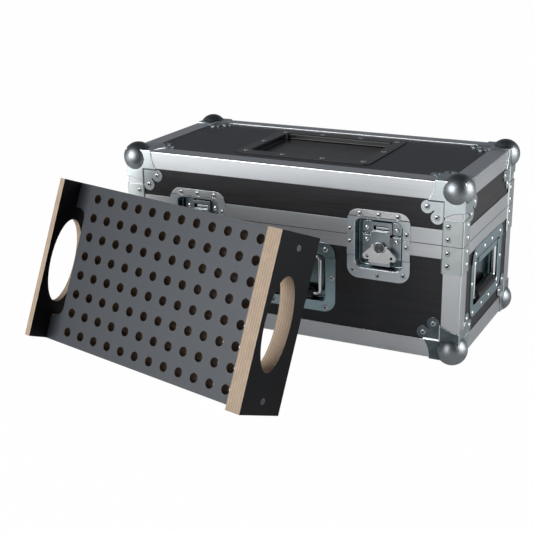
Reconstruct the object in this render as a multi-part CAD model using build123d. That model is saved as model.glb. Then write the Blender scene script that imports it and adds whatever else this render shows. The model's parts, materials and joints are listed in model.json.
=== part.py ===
from build123d import *
from math import cos, radians, sin, sqrt
import os

# Case body, measured over the aluminium, in millimetres
case_length = 606.0
case_width = 300.0
lid_seam = 0.4
panel_thickness = 7.0
floor_rebate = 0.2
floor_field_gap = 2.0

# How far a cutting shape runs past what it cuts
cut_margin = 1.0

# Aluminium edge angles
angle_leg = 30.0
angle_wall = 1.5
angle_edge_radius = 2.5

# Closing rails round the parting line: a tongue on the base and a groove in the lid
base_rail_height = 22.0
lid_rail_height = 25.0
rail_inner_wall = 1.3
rail_inner_height = 14.0
base_rail_cap = 1.5
lid_rail_cap = 4.5
tongue_width = 1.6
tongue_height = 2.2
groove_clearance = 0.7

# Ball corners
ball_diameter = 51.2
ball_inset = 14.3
corner_sheet = 1.5
corner_leg_reach = 48.0
lobe_near = 42.5
lobe_far = 59.0
lobe_radius = 10.5
lobe_notch = 48.5
lid_clear_above = 8.0

# Angled braces over the corner seams at the parting line
brace_leg = 31.5
brace_edge_radius = 3.0
base_brace_height = 45.0
brace_seam = 0.8
brace_corner_gap = 1.6
brace_rivet_inset = 23.0
base_brace_rivet_drops = (12.0, 33.0)
lid_brace_rivet_rises = (10.5, 31.5)

# Rivets
rivet_head_diameter = 9.5
rivet_head_height = 1.6
rivet_bore_diameter = 3.0
rivet_bore_depth = 1.0
dome_diameter = 9.0
dome_height = 2.5

# Recessed dishes of pressed sheet
dish_sheet = 1.2
cutout_clearance = 0.8

# Butterfly latches
latch_spacing = 329.4
latch_flange_width = 107.0
latch_flange_rise = 43.7
latch_flange_drop = 72.3
latch_flange_radius = 19.0
latch_well_width = 80.0
latch_well_rise = 28.0
latch_well_drop = 53.5
latch_well_radius = 12.0
latch_well_depth = 18.0
latch_crank_rise = 31.5
latch_crank_drop = 33.5
latch_rivet_side = 47.8
latch_rivet_top = 36.5
latch_rivet_top_pitch = 32.2
latch_rivet_lid_side = 9.6
latch_rivet_base_side = 11.4
latch_rivet_bottom = 59.5
latch_rivet_bottom_side = 43.4
latch_rivet_bottom_middle = 65.0
dome_side = 25.7
dome_offset = 10.0
spindle_drop = 19.1
hub_diameter = 20.0
hub_front = 4.4
hub_edge_radius = 1.2
shaft_diameter = 12.0
shaft_clearance = 0.05
part_gap = 0.3
hook_width = 32.0
hook_top_rise = 7.0
hook_bottom_drop = 36.0
hook_sheet = 2.0
hook_corner_radius = 5.0
hook_face = 9.0
hook_travel = 8.0
bridge_sheet = 2.0
bridge_width = 36.0
tab_width = 15.0
strike_bottom_rise = 2.4
strike_top_rise = 22.0
strike_slot_bottom = 8.6
strike_slot_top = 16.0
strike_slot_width = 26.0
cam_plate_top_drop = 2.4
cam_plate_bottom_drop = 39.0

# Butterfly wing
wing_sheet = 2.0
wing_front = 5.0
wing_tip_side = 23.0
wing_tip_drop = 15.5
wing_tip_radius = 5.5
wing_hole_side = 20.5
wing_hole_diameter = 5.0
wing_axis_rise = 1.6
wing_arm_side = 13.2
wing_arm_radius = 2.4
wing_pin_diameter = 2.4
wing_lip_width = 36.0
wing_lip_bottom = 25.5
wing_lip_depth = 3.4

# Spring handles
handle_clear_below = 20.0
handle_rail_lap = 1.5
handle_flange_width = 182.0
handle_flange_height = 120.0
handle_flange_radius = 21.0
handle_well_width = 145.0
handle_well_height = 81.0
handle_well_radius = 9.0
handle_well_drop = 1.5
handle_well_depth = 16.0
handle_crank_rise = 35.6
handle_rivet_row_top = 48.5
handle_rivet_row_bottom = 52.5
handle_rivet_inner = 22.0
handle_rivet_outer = 73.5
handle_rivet_side = 84.5
bail_wire_diameter = 7.0
bail_spread = 124.0
bail_pivot_rise = 33.5
bail_pivot_depth = 5.4
bail_grip_drop = 31.4
bail_bend_radius = 8.0
bail_pin_end = 32.0
grip_diameter = 19.0
grip_length = 100.0
grip_end_radius = 2.5
ear_inner = 49.0
ear_wall = 3.0
ear_depth = 11.0
ear_height = 10.5
cover_half_width = 55.0
spring_outer_diameter = 10.2
spring_bore_diameter = 7.8
spring_length = 14.0
spring_start = 33.0

# Back hinges
hinge_spacing = 360.0
hinge_width = 60.0
hinge_leaf_sheet = 2.0
hinge_leaf_height = 21.0
knuckle_diameter = 9.0
knuckle_standoff = 0.2
knuckle_middle_width = 23.0
knuckle_gap = 0.4
hinge_pin_diameter = 5.0
hinge_pin_clearance = 0.05
hinge_pin_overhang = 1.0
hinge_rivet_side = 21.0
hinge_rivet_offset = 13.0

# Label dish on the lid
label_offset = 5.0
label_flange_length = 248.0
label_flange_width = 196.0
label_flange_radius = 10.0
label_well_length = 206.0
label_well_width = 148.0
label_well_radius = 8.0
label_well_depth = 10.0
label_sheet = 1.5
label_rivet_corner = (108.0, 81.0)
label_rivet_middle = (36.5, 86.0)
label_rivet_side = 113.5

# Divider that closes off the accessory bay at the right end
divider_position = 211.5
divider_height = 140.0
batten_size = 12.0
batten_height = 110.0

# Spigot tray: a perforated panel between a single end board and a double one
tray_left_reach = 224.5
tray_right_reach = 214.8
tray_height = 266.7
tray_left_board = 11.0
tray_right_board = 13.5
tray_end_front = 37.4
tray_end_back = 53.7
tray_panel_thickness = 18.0
spigot_pitch = 32.2
spigot_columns = 12
spigot_rows = 8
spigot_hole_diameter = 15.5
finger_notch_height = 183.0
finger_notch_depth = 25.0
finger_notch_radius = 16.0
hand_hole_height = 141.0
hand_hole_width = 60.0
hand_hole_back = 2.0
tray_screw_spacing = 225.0
tray_screw_diameter = 4.5
tray_screw_head = 9.0
tray_screw_length = 50.0
tray_screw_recess = (4.2, 1.1)

# Where the tray stands: its turn about the vertical, its lean, and its middle over the floor
tray_turn = -14.35
tray_lean = 21.6
tray_middle_x = -117.3
tray_middle_y = -364.2

# Worked out once from the driving sizes; the heights are stacked up from the bottom edge
handle_height = angle_leg + handle_clear_below + handle_flange_height / 2
handle_top = angle_leg + handle_clear_below + handle_flange_height
parting_height = handle_top - handle_rail_lap + base_rail_height
lid_brace_height = lid_rail_height + lid_clear_above + lobe_radius - brace_seam / 2 - brace_corner_gap
case_height = parting_height + lid_rail_height + lid_clear_above + lobe_radius + lobe_far
half_length = case_length / 2
half_width = case_width / 2
panel_x = half_length - angle_wall
panel_y = half_width - angle_wall
inside_x = panel_x - panel_thickness
inside_y = panel_y - panel_thickness
inside_floor = angle_wall + panel_thickness
base_top = parting_height - lid_seam / 2
lid_bottom = parting_height + lid_seam / 2
base_panel_top = base_top - base_rail_cap
lid_panel_bottom = lid_bottom + lid_rail_cap
ball_radius = ball_diameter / 2
floor_level = ball_inset - ball_radius
latch_x = latch_spacing / 2
latch_cut = latch_well_width / 2 + dish_sheet + cutout_clearance
hinge_axis_y = half_width + knuckle_standoff + knuckle_diameter / 2

FRONT = Plane(origin=(0, -half_width, 0), x_dir=(1, 0, 0), z_dir=(0, -1, 0))
BACK = Plane(origin=(0, half_width, 0), x_dir=(-1, 0, 0), z_dir=(0, 1, 0))
LEFT = Plane(origin=(-half_length, 0, 0), x_dir=(0, -1, 0), z_dir=(-1, 0, 0))
RIGHT = Plane(origin=(half_length, 0, 0), x_dir=(0, 1, 0), z_dir=(1, 0, 0))
TOP = Plane(origin=(0, 0, case_height), x_dir=(1, 0, 0), z_dir=(0, 0, 1))
MIDDLE = Plane.XY.offset(case_height / 2)


def block(xs, ys, zs):
    """A box between two values on each axis."""
    spans = (xs, ys, zs)
    middle = [(low + high) / 2 for low, high in spans]
    return Pos(*middle) * Box(*[high - low for low, high in spans])


def slab(sketch, low, high):
    """A flat sketch given a thickness from one level to another."""
    return Pos(0, 0, low) * extrude(sketch, high - low)


def on(frame, x, y, shape, level=0.0):
    """A shape placed on a face of the case, at x and y in that face's own frame."""
    return frame.location * Pos(x, y, level) * shape


def ring(inset, depth, low, high):
    """A square-cornered band that follows the walls of the case."""
    outer = block(
        (-half_length + inset, half_length - inset), (-half_width + inset, half_width - inset), (low, high)
    )
    inner = inset + depth
    hollow = block(
        (-half_length + inner, half_length - inner),
        (-half_width + inner, half_width - inner),
        (low - cut_margin, high + cut_margin),
    )
    return outer - hollow


def across(shapes, *planes):
    """The shapes and their mirror images in each plane in turn."""
    every = list(shapes)
    for plane in planes:
        every += [mirror(shape, about=plane) for shape in every]
    return every


def rounded(width, low, high, radius):
    """A rounded rectangle between two heights, centred across."""
    return Pos(0, (low + high) / 2) * RectangleRounded(width, high - low, radius)


def rivet_head():
    """A blind rivet's domed flange with the hole that its mandrel leaves."""
    radius = rivet_head_diameter / 2
    sphere = (radius**2 + rivet_head_height**2) / (2 * rivet_head_height)
    cap = Pos(0, 0, rivet_head_height - sphere) * Sphere(sphere)
    cap &= Pos(0, 0, rivet_head_height / 2) * Box(2 * radius, 2 * radius, rivet_head_height)
    bore = Cylinder(rivet_bore_diameter / 2, 2 * rivet_bore_depth)
    return cap - Pos(0, 0, rivet_head_height) * bore


def dome_head():
    """A solid domed rivet inside a latch."""
    radius = dome_diameter / 2
    sphere = (radius**2 + dome_height**2) / (2 * dome_height)
    cap = Pos(0, 0, dome_height - sphere) * Sphere(sphere)
    return cap & Pos(0, 0, dome_height / 2) * Box(2 * radius, 2 * radius, dome_height)


RIVET = rivet_head()
DOME = dome_head()


def angle_section():
    """The section of an edge angle, with its outer corner at the origin."""
    corner = (Align.MIN, Align.MIN)
    outer = Rectangle(angle_leg, angle_leg, align=corner)
    section = outer - Pos(angle_wall, angle_wall) * Rectangle(angle_leg, angle_leg, align=corner)
    apex = section.vertices().sort_by_distance((0, 0, 0))[0]
    return fillet(apex, angle_edge_radius)


def long_angle():
    """The bottom front edge angle, which stops where the end angles' legs begin."""
    run = case_length - 2 * angle_leg
    start = Plane(origin=(-run / 2, -half_width, 0), x_dir=(0, 1, 0), z_dir=(1, 0, 0))
    return start.location * extrude(angle_section(), run)


def end_angle():
    """The bottom left edge angle."""
    run = case_width - 2 * angle_leg
    start = Plane(origin=(-half_length, run / 2, 0), x_dir=(1, 0, 0), z_dir=(0, -1, 0))
    return start.location * extrude(angle_section(), run)


def upright_angle(low, high):
    """The front left upright angle between two heights."""
    return Pos(-half_length, -half_width, low) * extrude(angle_section(), high - low)


def base_rail_band():
    """The base's closing rail as one square loop, before it is cut into lengths."""
    across_rail = angle_wall + panel_thickness + rail_inner_wall
    band = ring(0, angle_wall, parting_height - base_rail_height, base_top)
    band += ring(0, across_rail, base_panel_top, base_top)
    band += ring(angle_wall + panel_thickness, rail_inner_wall, base_top - rail_inner_height, base_top)
    tongue_inset = (across_rail - tongue_width) / 2
    return band + ring(tongue_inset, tongue_width, base_top, base_top + tongue_height)


def lid_rail_band():
    """The lid's closing rail, with the groove that takes the base's tongue."""
    across_rail = angle_wall + panel_thickness + rail_inner_wall
    band = ring(0, angle_wall, lid_bottom, parting_height + lid_rail_height)
    band += ring(0, across_rail, lid_bottom, lid_panel_bottom)
    band += ring(angle_wall + panel_thickness, rail_inner_wall, lid_bottom, lid_bottom + rail_inner_height)
    groove_width = tongue_width + 2 * groove_clearance
    groove_inset = (across_rail - groove_width) / 2
    return band - ring(groove_inset, groove_width, lid_bottom, lid_bottom + tongue_height + groove_clearance)


def mitred_rails(band):
    """The loop cut at its corners on the mitre, and in front where the latches pass."""
    reach = 2 * angle_leg
    long_side = Polygon(
        (-half_length, -half_width),
        (half_length, -half_width),
        (half_length - reach, -half_width + reach),
        (-half_length + reach, -half_width + reach),
        align=None,
    )
    end_side = Polygon(
        (-half_length, -half_width),
        (-half_length + reach, -half_width + reach),
        (-half_length + reach, half_width - reach),
        (-half_length, half_width),
        align=None,
    )
    front = band & extrude(long_side, case_height)
    back = mirror(front, about=Plane.XZ)
    for side in (-latch_x, latch_x):
        front -= block((side - latch_cut, side + latch_cut), (-case_width, 0), (0, case_height))
    left = band & extrude(end_side, case_height)
    return [front, back, left, mirror(left, about=Plane.YZ)]


def corner_outline():
    """A ball corner's plate on one face: two concave legs and two round lobes."""
    edge = -corner_sheet
    top = lobe_near - lobe_radius
    spread = lobe_far - corner_leg_reach
    arc_radius = (spread**2 + top**2) / (2 * spread)
    middle = corner_leg_reach + arc_radius - sqrt(arc_radius**2 - (top / 2) ** 2)
    half = [(corner_leg_reach, edge), (corner_leg_reach, 0), (middle, top / 2), (lobe_far, top)]
    other = [(y, x) for x, y in half]
    edges = [
        Line((edge, edge), half[0]),
        Line(half[0], half[1]),
        ThreePointArc(half[1], half[2], half[3]),
        Line(half[3], (lobe_notch, lobe_notch)),
        Line((lobe_notch, lobe_notch), other[3]),
        ThreePointArc(other[3], other[2], other[1]),
        Line(other[1], other[0]),
        Line(other[0], (edge, edge)),
    ]
    lobe = Circle(lobe_radius)
    return make_face(edges) + Pos(lobe_far, lobe_near) * lobe + Pos(lobe_near, lobe_far) * lobe


def ball_corner():
    """One ball corner at the origin, with the case in the positive octant."""
    outline = corner_outline()
    far = 4 * lobe_far
    step = angle_leg + corner_sheet
    upper = slab(outline, -corner_sheet, 0) - block((step, far), (step, far), (-far, far))
    lower = slab(outline, 0, angle_wall) & block((angle_leg, far), (angle_leg, far), (0, angle_wall))
    plate = upper + lower
    diagonal = Axis((0, 0, 0), (1, 1, 1))
    ball = Pos(ball_inset, ball_inset, ball_inset) * Sphere(ball_radius)
    ball -= block((0, far), (0, far), (0, far))
    return ball + plate + plate.rotate(diagonal, 120) + plate.rotate(diagonal, 240)


def corner_rivets():
    """The rivets of one ball corner, two on each face."""
    heads = [Pos(x, y) * Rot(180, 0, 0) * RIVET for x, y in ((lobe_far, lobe_near), (lobe_near, lobe_far))]
    diagonal = Axis((0, 0, 0), (1, 1, 1))
    return [head.rotate(diagonal, turn) for head in heads for turn in (0, 120, 240)]


def brace(low, high):
    """A brace bent round the front left upright edge."""
    start = -corner_sheet
    corner = (Align.MIN, Align.MIN)
    size = brace_leg + corner_sheet
    section = Pos(start, start) * Rectangle(size, size, align=corner)
    section -= Rectangle(size, size, align=corner)
    apex = section.vertices().sort_by_distance((start, start, 0))[0]
    section = fillet(apex, brace_edge_radius)
    return Pos(-half_length, -half_width, low) * extrude(section, high - low)


def brace_rivets(heights):
    """The rivets of the front left brace, on both of its faces."""
    heads = []
    for height in heights:
        heads.append(on(FRONT, -half_length + brace_rivet_inset, height, RIVET, corner_sheet))
        heads.append(on(LEFT, half_width - brace_rivet_inset, height, RIVET, corner_sheet))
    return heads


def cranked_dish(flange, well, well_wall, depth, raised):
    """A pressed dish whose flange steps up where it rides over an aluminium rail."""
    low_face = dish_sheet - angle_wall
    far = case_length
    whole = slab(flange, -angle_wall, dish_sheet)
    under = block((-far, far), (raised[0] + dish_sheet, raised[1] - dish_sheet), (-far, 0))
    dish = whole - under + slab(well_wall, -depth - dish_sheet, dish_sheet)
    for low, high in ((-far, raised[0]), (raised[1], far)):
        dish -= block((-far, far), (low, high), (low_face, far))
    return dish - slab(well, -depth, far)


def latch_dish():
    """The whole latch dish about the middle of the parting line, before it is parted."""
    flange = rounded(latch_flange_width, -latch_flange_drop, latch_flange_rise, latch_flange_radius)
    well = rounded(latch_well_width, -latch_well_drop, latch_well_rise, latch_well_radius)
    wall = rounded(
        latch_well_width + 2 * dish_sheet,
        -latch_well_drop - dish_sheet,
        latch_well_rise + dish_sheet,
        latch_well_radius + dish_sheet,
    )
    return cranked_dish(flange, well, wall, latch_well_depth, (-latch_crank_drop, latch_crank_rise))


def latch_half(low, high):
    """The part of the latch dish between two heights from the parting line."""
    far = case_length
    return latch_dish() & block((-far, far), (low, high), (-far, far))


def bridge_plate(low, high):
    """A bent plate on the dish floor: two flat tabs and a raised bridge between them."""
    face = -(hook_face + hook_sheet + part_gap)
    floor = -latch_well_depth
    half = bridge_width / 2
    plate = block((-half, half), (low, high), (face - bridge_sheet, face))
    for side in (-1, 1):
        inner, outer = sorted((side * (half - bridge_sheet), side * half))
        plate += block((inner, outer), (low, high), (floor, face))
        inner, outer = sorted((side * (half - bridge_sheet), side * (half + tab_width)))
        plate += block((inner, outer), (low, high), (floor, floor + bridge_sheet))
    return plate


def strike_plate():
    """The lid's strike, with the slot that the hook catches."""
    slot = block(
        (-strike_slot_width / 2, strike_slot_width / 2),
        (strike_slot_bottom, strike_slot_top),
        (-latch_well_depth + bridge_sheet, 0),
    )
    return bridge_plate(strike_bottom_rise, strike_top_rise) - slot


def cam_plate():
    """The base's plate that carries the spindle."""
    bore = Cylinder(shaft_diameter / 2 + shaft_clearance, 4 * latch_well_depth)
    return bridge_plate(-cam_plate_bottom_drop, -cam_plate_top_drop) - Pos(0, -spindle_drop) * bore


def latch_spindle():
    """The hub and its shaft, about the spindle's own axis, with the wing's cross pin."""
    hub_back = hook_face - part_gap
    hub = slab(Circle(hub_diameter / 2), -hub_back, -hub_front)
    hub = fillet(hub.edges().sort_by(Axis.Z)[-1], hub_edge_radius)
    shaft = slab(Circle(shaft_diameter / 2), -latch_well_depth + part_gap, -hub_back)
    pin_z = -(wing_front + wing_sheet / 2)
    pin = Pos(0, wing_axis_rise, pin_z) * Rot(0, 90, 0)
    pin *= Cylinder(wing_pin_diameter / 2 - shaft_clearance, 2 * wing_arm_side)
    return hub + shaft + pin


def latch_wing():
    """The butterfly wing, folded flat, about the spindle's axis."""
    clear = hub_diameter / 2 + part_gap
    tips = [Pos(side * wing_tip_side, -wing_tip_drop) * Circle(wing_tip_radius) for side in (-1, 1)]
    arms = Line((-wing_arm_side, wing_axis_rise), (wing_arm_side, wing_axis_rise))
    body = make_hull([*tips[0].edges(), *tips[1].edges(), arms])
    body -= Circle(clear)
    for side in (-1, 1):
        body -= Pos(side * wing_hole_side, -wing_tip_drop) * Circle(wing_hole_diameter / 2)
    wing = slab(body, -wing_front - wing_sheet, -wing_front)
    eye_length = wing_arm_side - clear
    pin_z = -(wing_front + wing_sheet / 2)
    for side in (-1, 1):
        middle = side * (clear + eye_length / 2)
        eye = Pos(middle, wing_axis_rise, pin_z) * Rot(0, 90, 0) * Cylinder(wing_arm_radius, eye_length)
        bore = Pos(middle, wing_axis_rise, pin_z) * Rot(0, 90, 0)
        bore *= Cylinder(wing_pin_diameter / 2, 2 * eye_length)
        wing = wing + eye - bore
    lip_top = wing_tip_drop + wing_tip_radius - wing_sheet
    half = wing_lip_width / 2
    wing += block((-half, half), (-wing_lip_bottom, -lip_top), (-wing_front - wing_sheet, -wing_front))
    wing += block(
        (-half, half),
        (-wing_lip_bottom, -wing_lip_bottom + wing_sheet),
        (-wing_front - wing_lip_depth, -wing_front),
    )
    return wing


def latch_hook():
    """The sliding hook plate, slotted round the spindle's shaft."""
    plate = rounded(hook_width, -hook_bottom_drop, hook_top_rise, hook_corner_radius)
    slot = SlotCenterToCenter(hook_travel, shaft_diameter + 2 * part_gap, rotation=90)
    slot = Pos(0, -spindle_drop - hook_travel / 2) * slot
    return slab(plate - slot, -hook_face - hook_sheet, -hook_face)


def latch_base_rivets():
    """Rivets through the base half of the dish, and the domed ones inside it."""
    low = dish_sheet - angle_wall
    spots = [(side * latch_rivet_side, -latch_rivet_base_side, dish_sheet) for side in (-1, 1)]
    spots += [(side * latch_rivet_bottom_side, -latch_rivet_bottom, low) for side in (-1, 1)]
    spots.append((0, -latch_rivet_bottom_middle, low))
    heads = [Pos(*spot) * RIVET for spot in spots]
    floor = -latch_well_depth + bridge_sheet
    return heads + [Pos(side * dome_side, -dome_offset, floor) * DOME for side in (-1, 1)]


def latch_lid_rivets():
    """Rivets through the lid half of the dish, and the domed ones inside it."""
    low = dish_sheet - angle_wall
    spots = [(side * latch_rivet_side, latch_rivet_lid_side, dish_sheet) for side in (-1, 1)]
    spots += [(place * latch_rivet_top_pitch, latch_rivet_top, low) for place in (-1, 0, 1)]
    heads = [Pos(*spot) * RIVET for spot in spots]
    floor = -latch_well_depth + bridge_sheet
    return heads + [Pos(side * dome_side, dome_offset, floor) * DOME for side in (-1, 1)]


def handle_well(grow):
    """The outline of a handle's well, grown by a margin."""
    width = handle_well_width + 2 * grow
    height = handle_well_height + 2 * grow
    return Pos(0, -handle_well_drop) * RectangleRounded(width, height, handle_well_radius + grow)


def handle_dish():
    """A handle's pressed dish, about its own middle."""
    flange = RectangleRounded(handle_flange_width, handle_flange_height, handle_flange_radius)
    raised = (handle_crank_rise, handle_flange_height)
    return cranked_dish(flange, handle_well(0), handle_well(dish_sheet), handle_well_depth, raised)


def handle_rivets():
    """The ten rivets of a handle's flange."""
    low = dish_sheet - angle_wall
    spots = []
    for side in (-1, 1):
        for across_flange in (handle_rivet_inner, handle_rivet_outer):
            spots.append((side * across_flange, handle_rivet_row_top, dish_sheet))
            spots.append((side * across_flange, -handle_rivet_row_bottom, low))
        spots.append((side * handle_rivet_side, 0, low))
    return [Pos(*spot) * RIVET for spot in spots]


def handle_bail():
    """The wire bail: two pivot pins, two legs and the bar inside the grip."""
    half = bail_spread / 2
    route = [
        (bail_pin_end, bail_pivot_rise, -bail_pivot_depth),
        (half, bail_pivot_rise, -bail_pivot_depth),
        (half, -bail_grip_drop, -bail_pivot_depth),
        (-half, -bail_grip_drop, -bail_pivot_depth),
        (-half, bail_pivot_rise, -bail_pivot_depth),
        (-bail_pin_end, bail_pivot_rise, -bail_pivot_depth),
    ]
    wire = FilletPolyline(*route, radius=bail_bend_radius)
    start = Plane(origin=route[0], z_dir=(1, 0, 0))
    return sweep(start * Circle(bail_wire_diameter / 2), path=wire)


def handle_grip():
    """The rubber grip round the bail's bar."""
    grip = Cylinder(grip_diameter / 2, grip_length)
    grip = fillet(grip.edges().filter_by(GeomType.CIRCLE), grip_end_radius)
    grip -= Cylinder(bail_wire_diameter / 2, 2 * grip_length)
    return Pos(0, -bail_grip_drop, -bail_pivot_depth) * Rot(0, 90, 0) * grip


def handle_pivot_plate():
    """The bracket at the top of the well that carries the bail's pins and hides its springs."""
    top = handle_well_height / 2 - handle_well_drop
    bottom = top - ear_height
    plate = block((-cover_half_width, cover_half_width), (bottom, top), (shaft_clearance, dish_sheet))
    pin = bail_wire_diameter / 2 + shaft_clearance
    bore = Pos(0, bail_pivot_rise, -bail_pivot_depth) * Rot(0, 90, 0) * Cylinder(pin, 2 * bail_spread)
    for side in (-1, 1):
        inner, outer = sorted((side * ear_inner, side * (ear_inner + ear_wall)))
        plate += block((inner, outer), (bottom, top), (-ear_depth, shaft_clearance))
    return plate - bore


def handle_springs():
    """The two close-wound torsion springs on the bail's pins, as plain sleeves."""
    sleeve = Cylinder(spring_outer_diameter / 2, spring_length)
    sleeve -= Cylinder(spring_bore_diameter / 2, 2 * spring_length)
    middle = spring_start + spring_length / 2
    place = Pos(middle, bail_pivot_rise, -bail_pivot_depth) * Rot(0, 90, 0)
    return across([place * sleeve], Plane.YZ)


def place_latch(part, side, drop=0.0):
    """A latch part on the front face at one of the two latches."""
    return on(FRONT, side * latch_x, parting_height - drop, part)


def hinge_leaf(spans, up):
    """A hinge leaf on the back face, about the pin's axis, with knuckles at the spans along it."""
    face = -(hinge_axis_y - half_width)
    knuckle = knuckle_diameter / 2
    half = hinge_width / 2
    start = knuckle + knuckle_gap
    leaf = block((-half, half), (face, face + hinge_leaf_sheet), (start, hinge_leaf_height))
    for low, high in spans:
        leaf += block((low, high), (face, face + hinge_leaf_sheet), (lid_seam, start))
        leaf += Pos((low + high) / 2, 0, 0) * Rot(0, 90, 0) * Cylinder(knuckle, high - low)
    leaf -= Rot(0, 90, 0) * Cylinder(hinge_pin_diameter / 2 + hinge_pin_clearance, 2 * hinge_width)
    return leaf if up else mirror(leaf, about=Plane.XY)


def base_hinge_leaf():
    """The base's leaf, with the two outer knuckles."""
    half = hinge_width / 2
    start = knuckle_middle_width / 2 + knuckle_gap
    return hinge_leaf([(-half, -start), (start, half)], up=False)


def lid_hinge_leaf():
    """The lid's leaf, with the middle knuckle."""
    half = knuckle_middle_width / 2
    return hinge_leaf([(-half, half)], up=True)


def hinge_pin():
    """A hinge's pin, which stands a little proud of the knuckles at both ends."""
    return Rot(0, 90, 0) * Cylinder(hinge_pin_diameter / 2, hinge_width + 2 * hinge_pin_overhang)


def at_hinges(part):
    """A hinge part at the left hinge and at the right one."""
    return [Pos(x, hinge_axis_y, parting_height) * part for x in (-hinge_spacing / 2, hinge_spacing / 2)]


def hinge_rivets(rise):
    """The rivets of both hinges' leaves on one side of the parting line."""
    heads = []
    for middle in (-hinge_spacing / 2, hinge_spacing / 2):
        for side in (-hinge_rivet_side, hinge_rivet_side):
            heads.append(on(BACK, middle + side, parting_height + rise, RIVET, hinge_leaf_sheet))
    return heads


def floor_field():
    """The part of the floor's underside that the profiles and the ball corners leave free."""
    edge = angle_leg + floor_field_gap
    corner = lobe_far + lobe_radius + floor_field_gap
    long_way = Rectangle(case_length - 2 * edge, case_width - 2 * corner)
    return long_way + Rectangle(case_length - 2 * corner, case_width - 2 * edge)


def base_panels():
    """The five boards of the base, with their cut-outs for latches and handles."""
    walls = (angle_wall, base_panel_top)
    front = block((-panel_x, panel_x), (-panel_y, -inside_y), walls)
    back = block((-panel_x, panel_x), (inside_y, panel_y), walls)
    for side in (-latch_x, latch_x):
        low = parting_height - latch_well_drop - dish_sheet - cutout_clearance
        front -= block((side - latch_cut, side + latch_cut), (-case_width, 0), (low, case_height))
    hole = slab(handle_well(dish_sheet + cutout_clearance), -2 * handle_well_depth, 0)
    front -= on(FRONT, 0, handle_height, hole)
    right = block((inside_x, panel_x), (-inside_y, inside_y), walls) - on(RIGHT, 0, handle_height, hole)
    left = block((-panel_x, -inside_x), (-inside_y, inside_y), walls) - on(LEFT, 0, handle_height, hole)
    floor = block((-inside_x, inside_x), (-inside_y, inside_y), (angle_wall + floor_rebate, inside_floor))
    floor += slab(floor_field(), angle_wall, inside_floor)
    return floor, front, back, [left, right]


def lid_panels():
    """The five boards of the lid, with their cut-outs for latches and the label dish."""
    top_face = case_height - angle_wall
    walls = (lid_panel_bottom, top_face)
    front = block((-panel_x, panel_x), (-panel_y, -inside_y), walls)
    back = block((-panel_x, panel_x), (inside_y, panel_y), walls)
    for side in (-latch_x, latch_x):
        high = parting_height + latch_well_rise + dish_sheet + cutout_clearance
        front -= block((side - latch_cut, side + latch_cut), (-case_width, 0), (0, high))
    ends = block((inside_x, panel_x), (-inside_y, inside_y), walls)
    top = block((-inside_x, inside_x), (-inside_y, inside_y), (top_face - panel_thickness, top_face))
    grow = label_sheet + cutout_clearance
    hole = RectangleRounded(label_well_length + 2 * grow, label_well_width + 2 * grow, label_well_radius)
    top -= on(TOP, 0, label_offset, slab(hole, -2 * label_well_depth, 0))
    return top, front, back, across([ends], Plane.YZ)


def label_dish():
    """The black label dish in the lid."""
    flange = RectangleRounded(label_flange_length, label_flange_width, label_flange_radius)
    well = RectangleRounded(label_well_length, label_well_width, label_well_radius)
    length = label_well_length + 2 * label_sheet
    width = label_well_width + 2 * label_sheet
    wall = RectangleRounded(length, width, label_well_radius + label_sheet)
    dish = slab(flange, -angle_wall, label_sheet - angle_wall)
    dish += slab(wall, -label_well_depth - label_sheet, -angle_wall)
    return dish - slab(well, -label_well_depth, 2 * label_sheet)


def label_rivets():
    """The ten rivets of the label dish."""
    spots = []
    for side in (-1, 1):
        spots.append((side * label_rivet_side, 0))
        for x, y in (label_rivet_corner, label_rivet_middle):
            spots += [(side * x, y), (side * x, -y)]
    level = label_sheet - angle_wall
    return [on(TOP, x, y + label_offset, RIVET, level) for x, y in spots]


def divider():
    """The board between the tray's space and the accessory bay, and its battens."""
    half = panel_thickness / 2
    board = block(
        (divider_position - half, divider_position + half),
        (-inside_y, inside_y),
        (inside_floor, inside_floor + divider_height),
    )
    start = divider_position + half
    batten = block(
        (start, start + batten_size),
        (-inside_y, -inside_y + batten_size),
        (inside_floor, inside_floor + batten_height),
    )
    across_board = Plane.YZ.offset(divider_position)
    return board, across([batten], across_board, Plane.XZ)


def tray_frame():
    """The tray's own frame: x along it, y up its panel, z out of its front."""
    turn, lean = radians(tray_turn), radians(tray_lean)
    along = Vector(cos(turn), sin(turn), 0)
    back = Vector(-sin(turn), cos(turn), 0)
    up = Vector(0, 0, cos(lean)) + back * sin(lean)
    out = along.cross(up)
    lowest = tray_height / 2 * cos(lean) + tray_end_back * sin(lean)
    return Plane(origin=(tray_middle_x, tray_middle_y, floor_level + lowest), x_dir=along, z_dir=out)


def tray_panel():
    """The perforated panel with a finger notch at each end."""
    width = tray_left_reach + tray_right_reach
    sheet = Pos((tray_right_reach - tray_left_reach) / 2, 0) * Rectangle(width, tray_height)
    sheet -= GridLocations(spigot_pitch, spigot_pitch, spigot_columns, spigot_rows) * Circle(
        spigot_hole_diameter / 2
    )
    notch = RectangleRounded(2 * finger_notch_depth, finger_notch_height, finger_notch_radius)
    for end in (-tray_left_reach, tray_right_reach):
        sheet -= Pos(end, 0) * notch
    return slab(sheet, -tray_panel_thickness, 0)


def tray_end_screws(outside, recess):
    """The two countersunk screws of the right end, with or without their cross recess."""
    cone_height = (tray_screw_head - tray_screw_diameter) / 2
    screw = Pos(0, 0, -tray_screw_length / 2) * Cylinder(tray_screw_diameter / 2, tray_screw_length)
    screw += Pos(0, 0, -cone_height / 2) * Cone(tray_screw_diameter / 2, tray_screw_head / 2, cone_height)
    if recess:
        for arm in (tray_screw_recess, tray_screw_recess[::-1]):
            screw -= Box(*arm, cone_height)
    half = tray_screw_spacing / 2
    return [Pos(outside, rise, -tray_panel_thickness / 2) * Rot(0, 90, 0) * screw for rise in (-half, half)]


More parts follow.
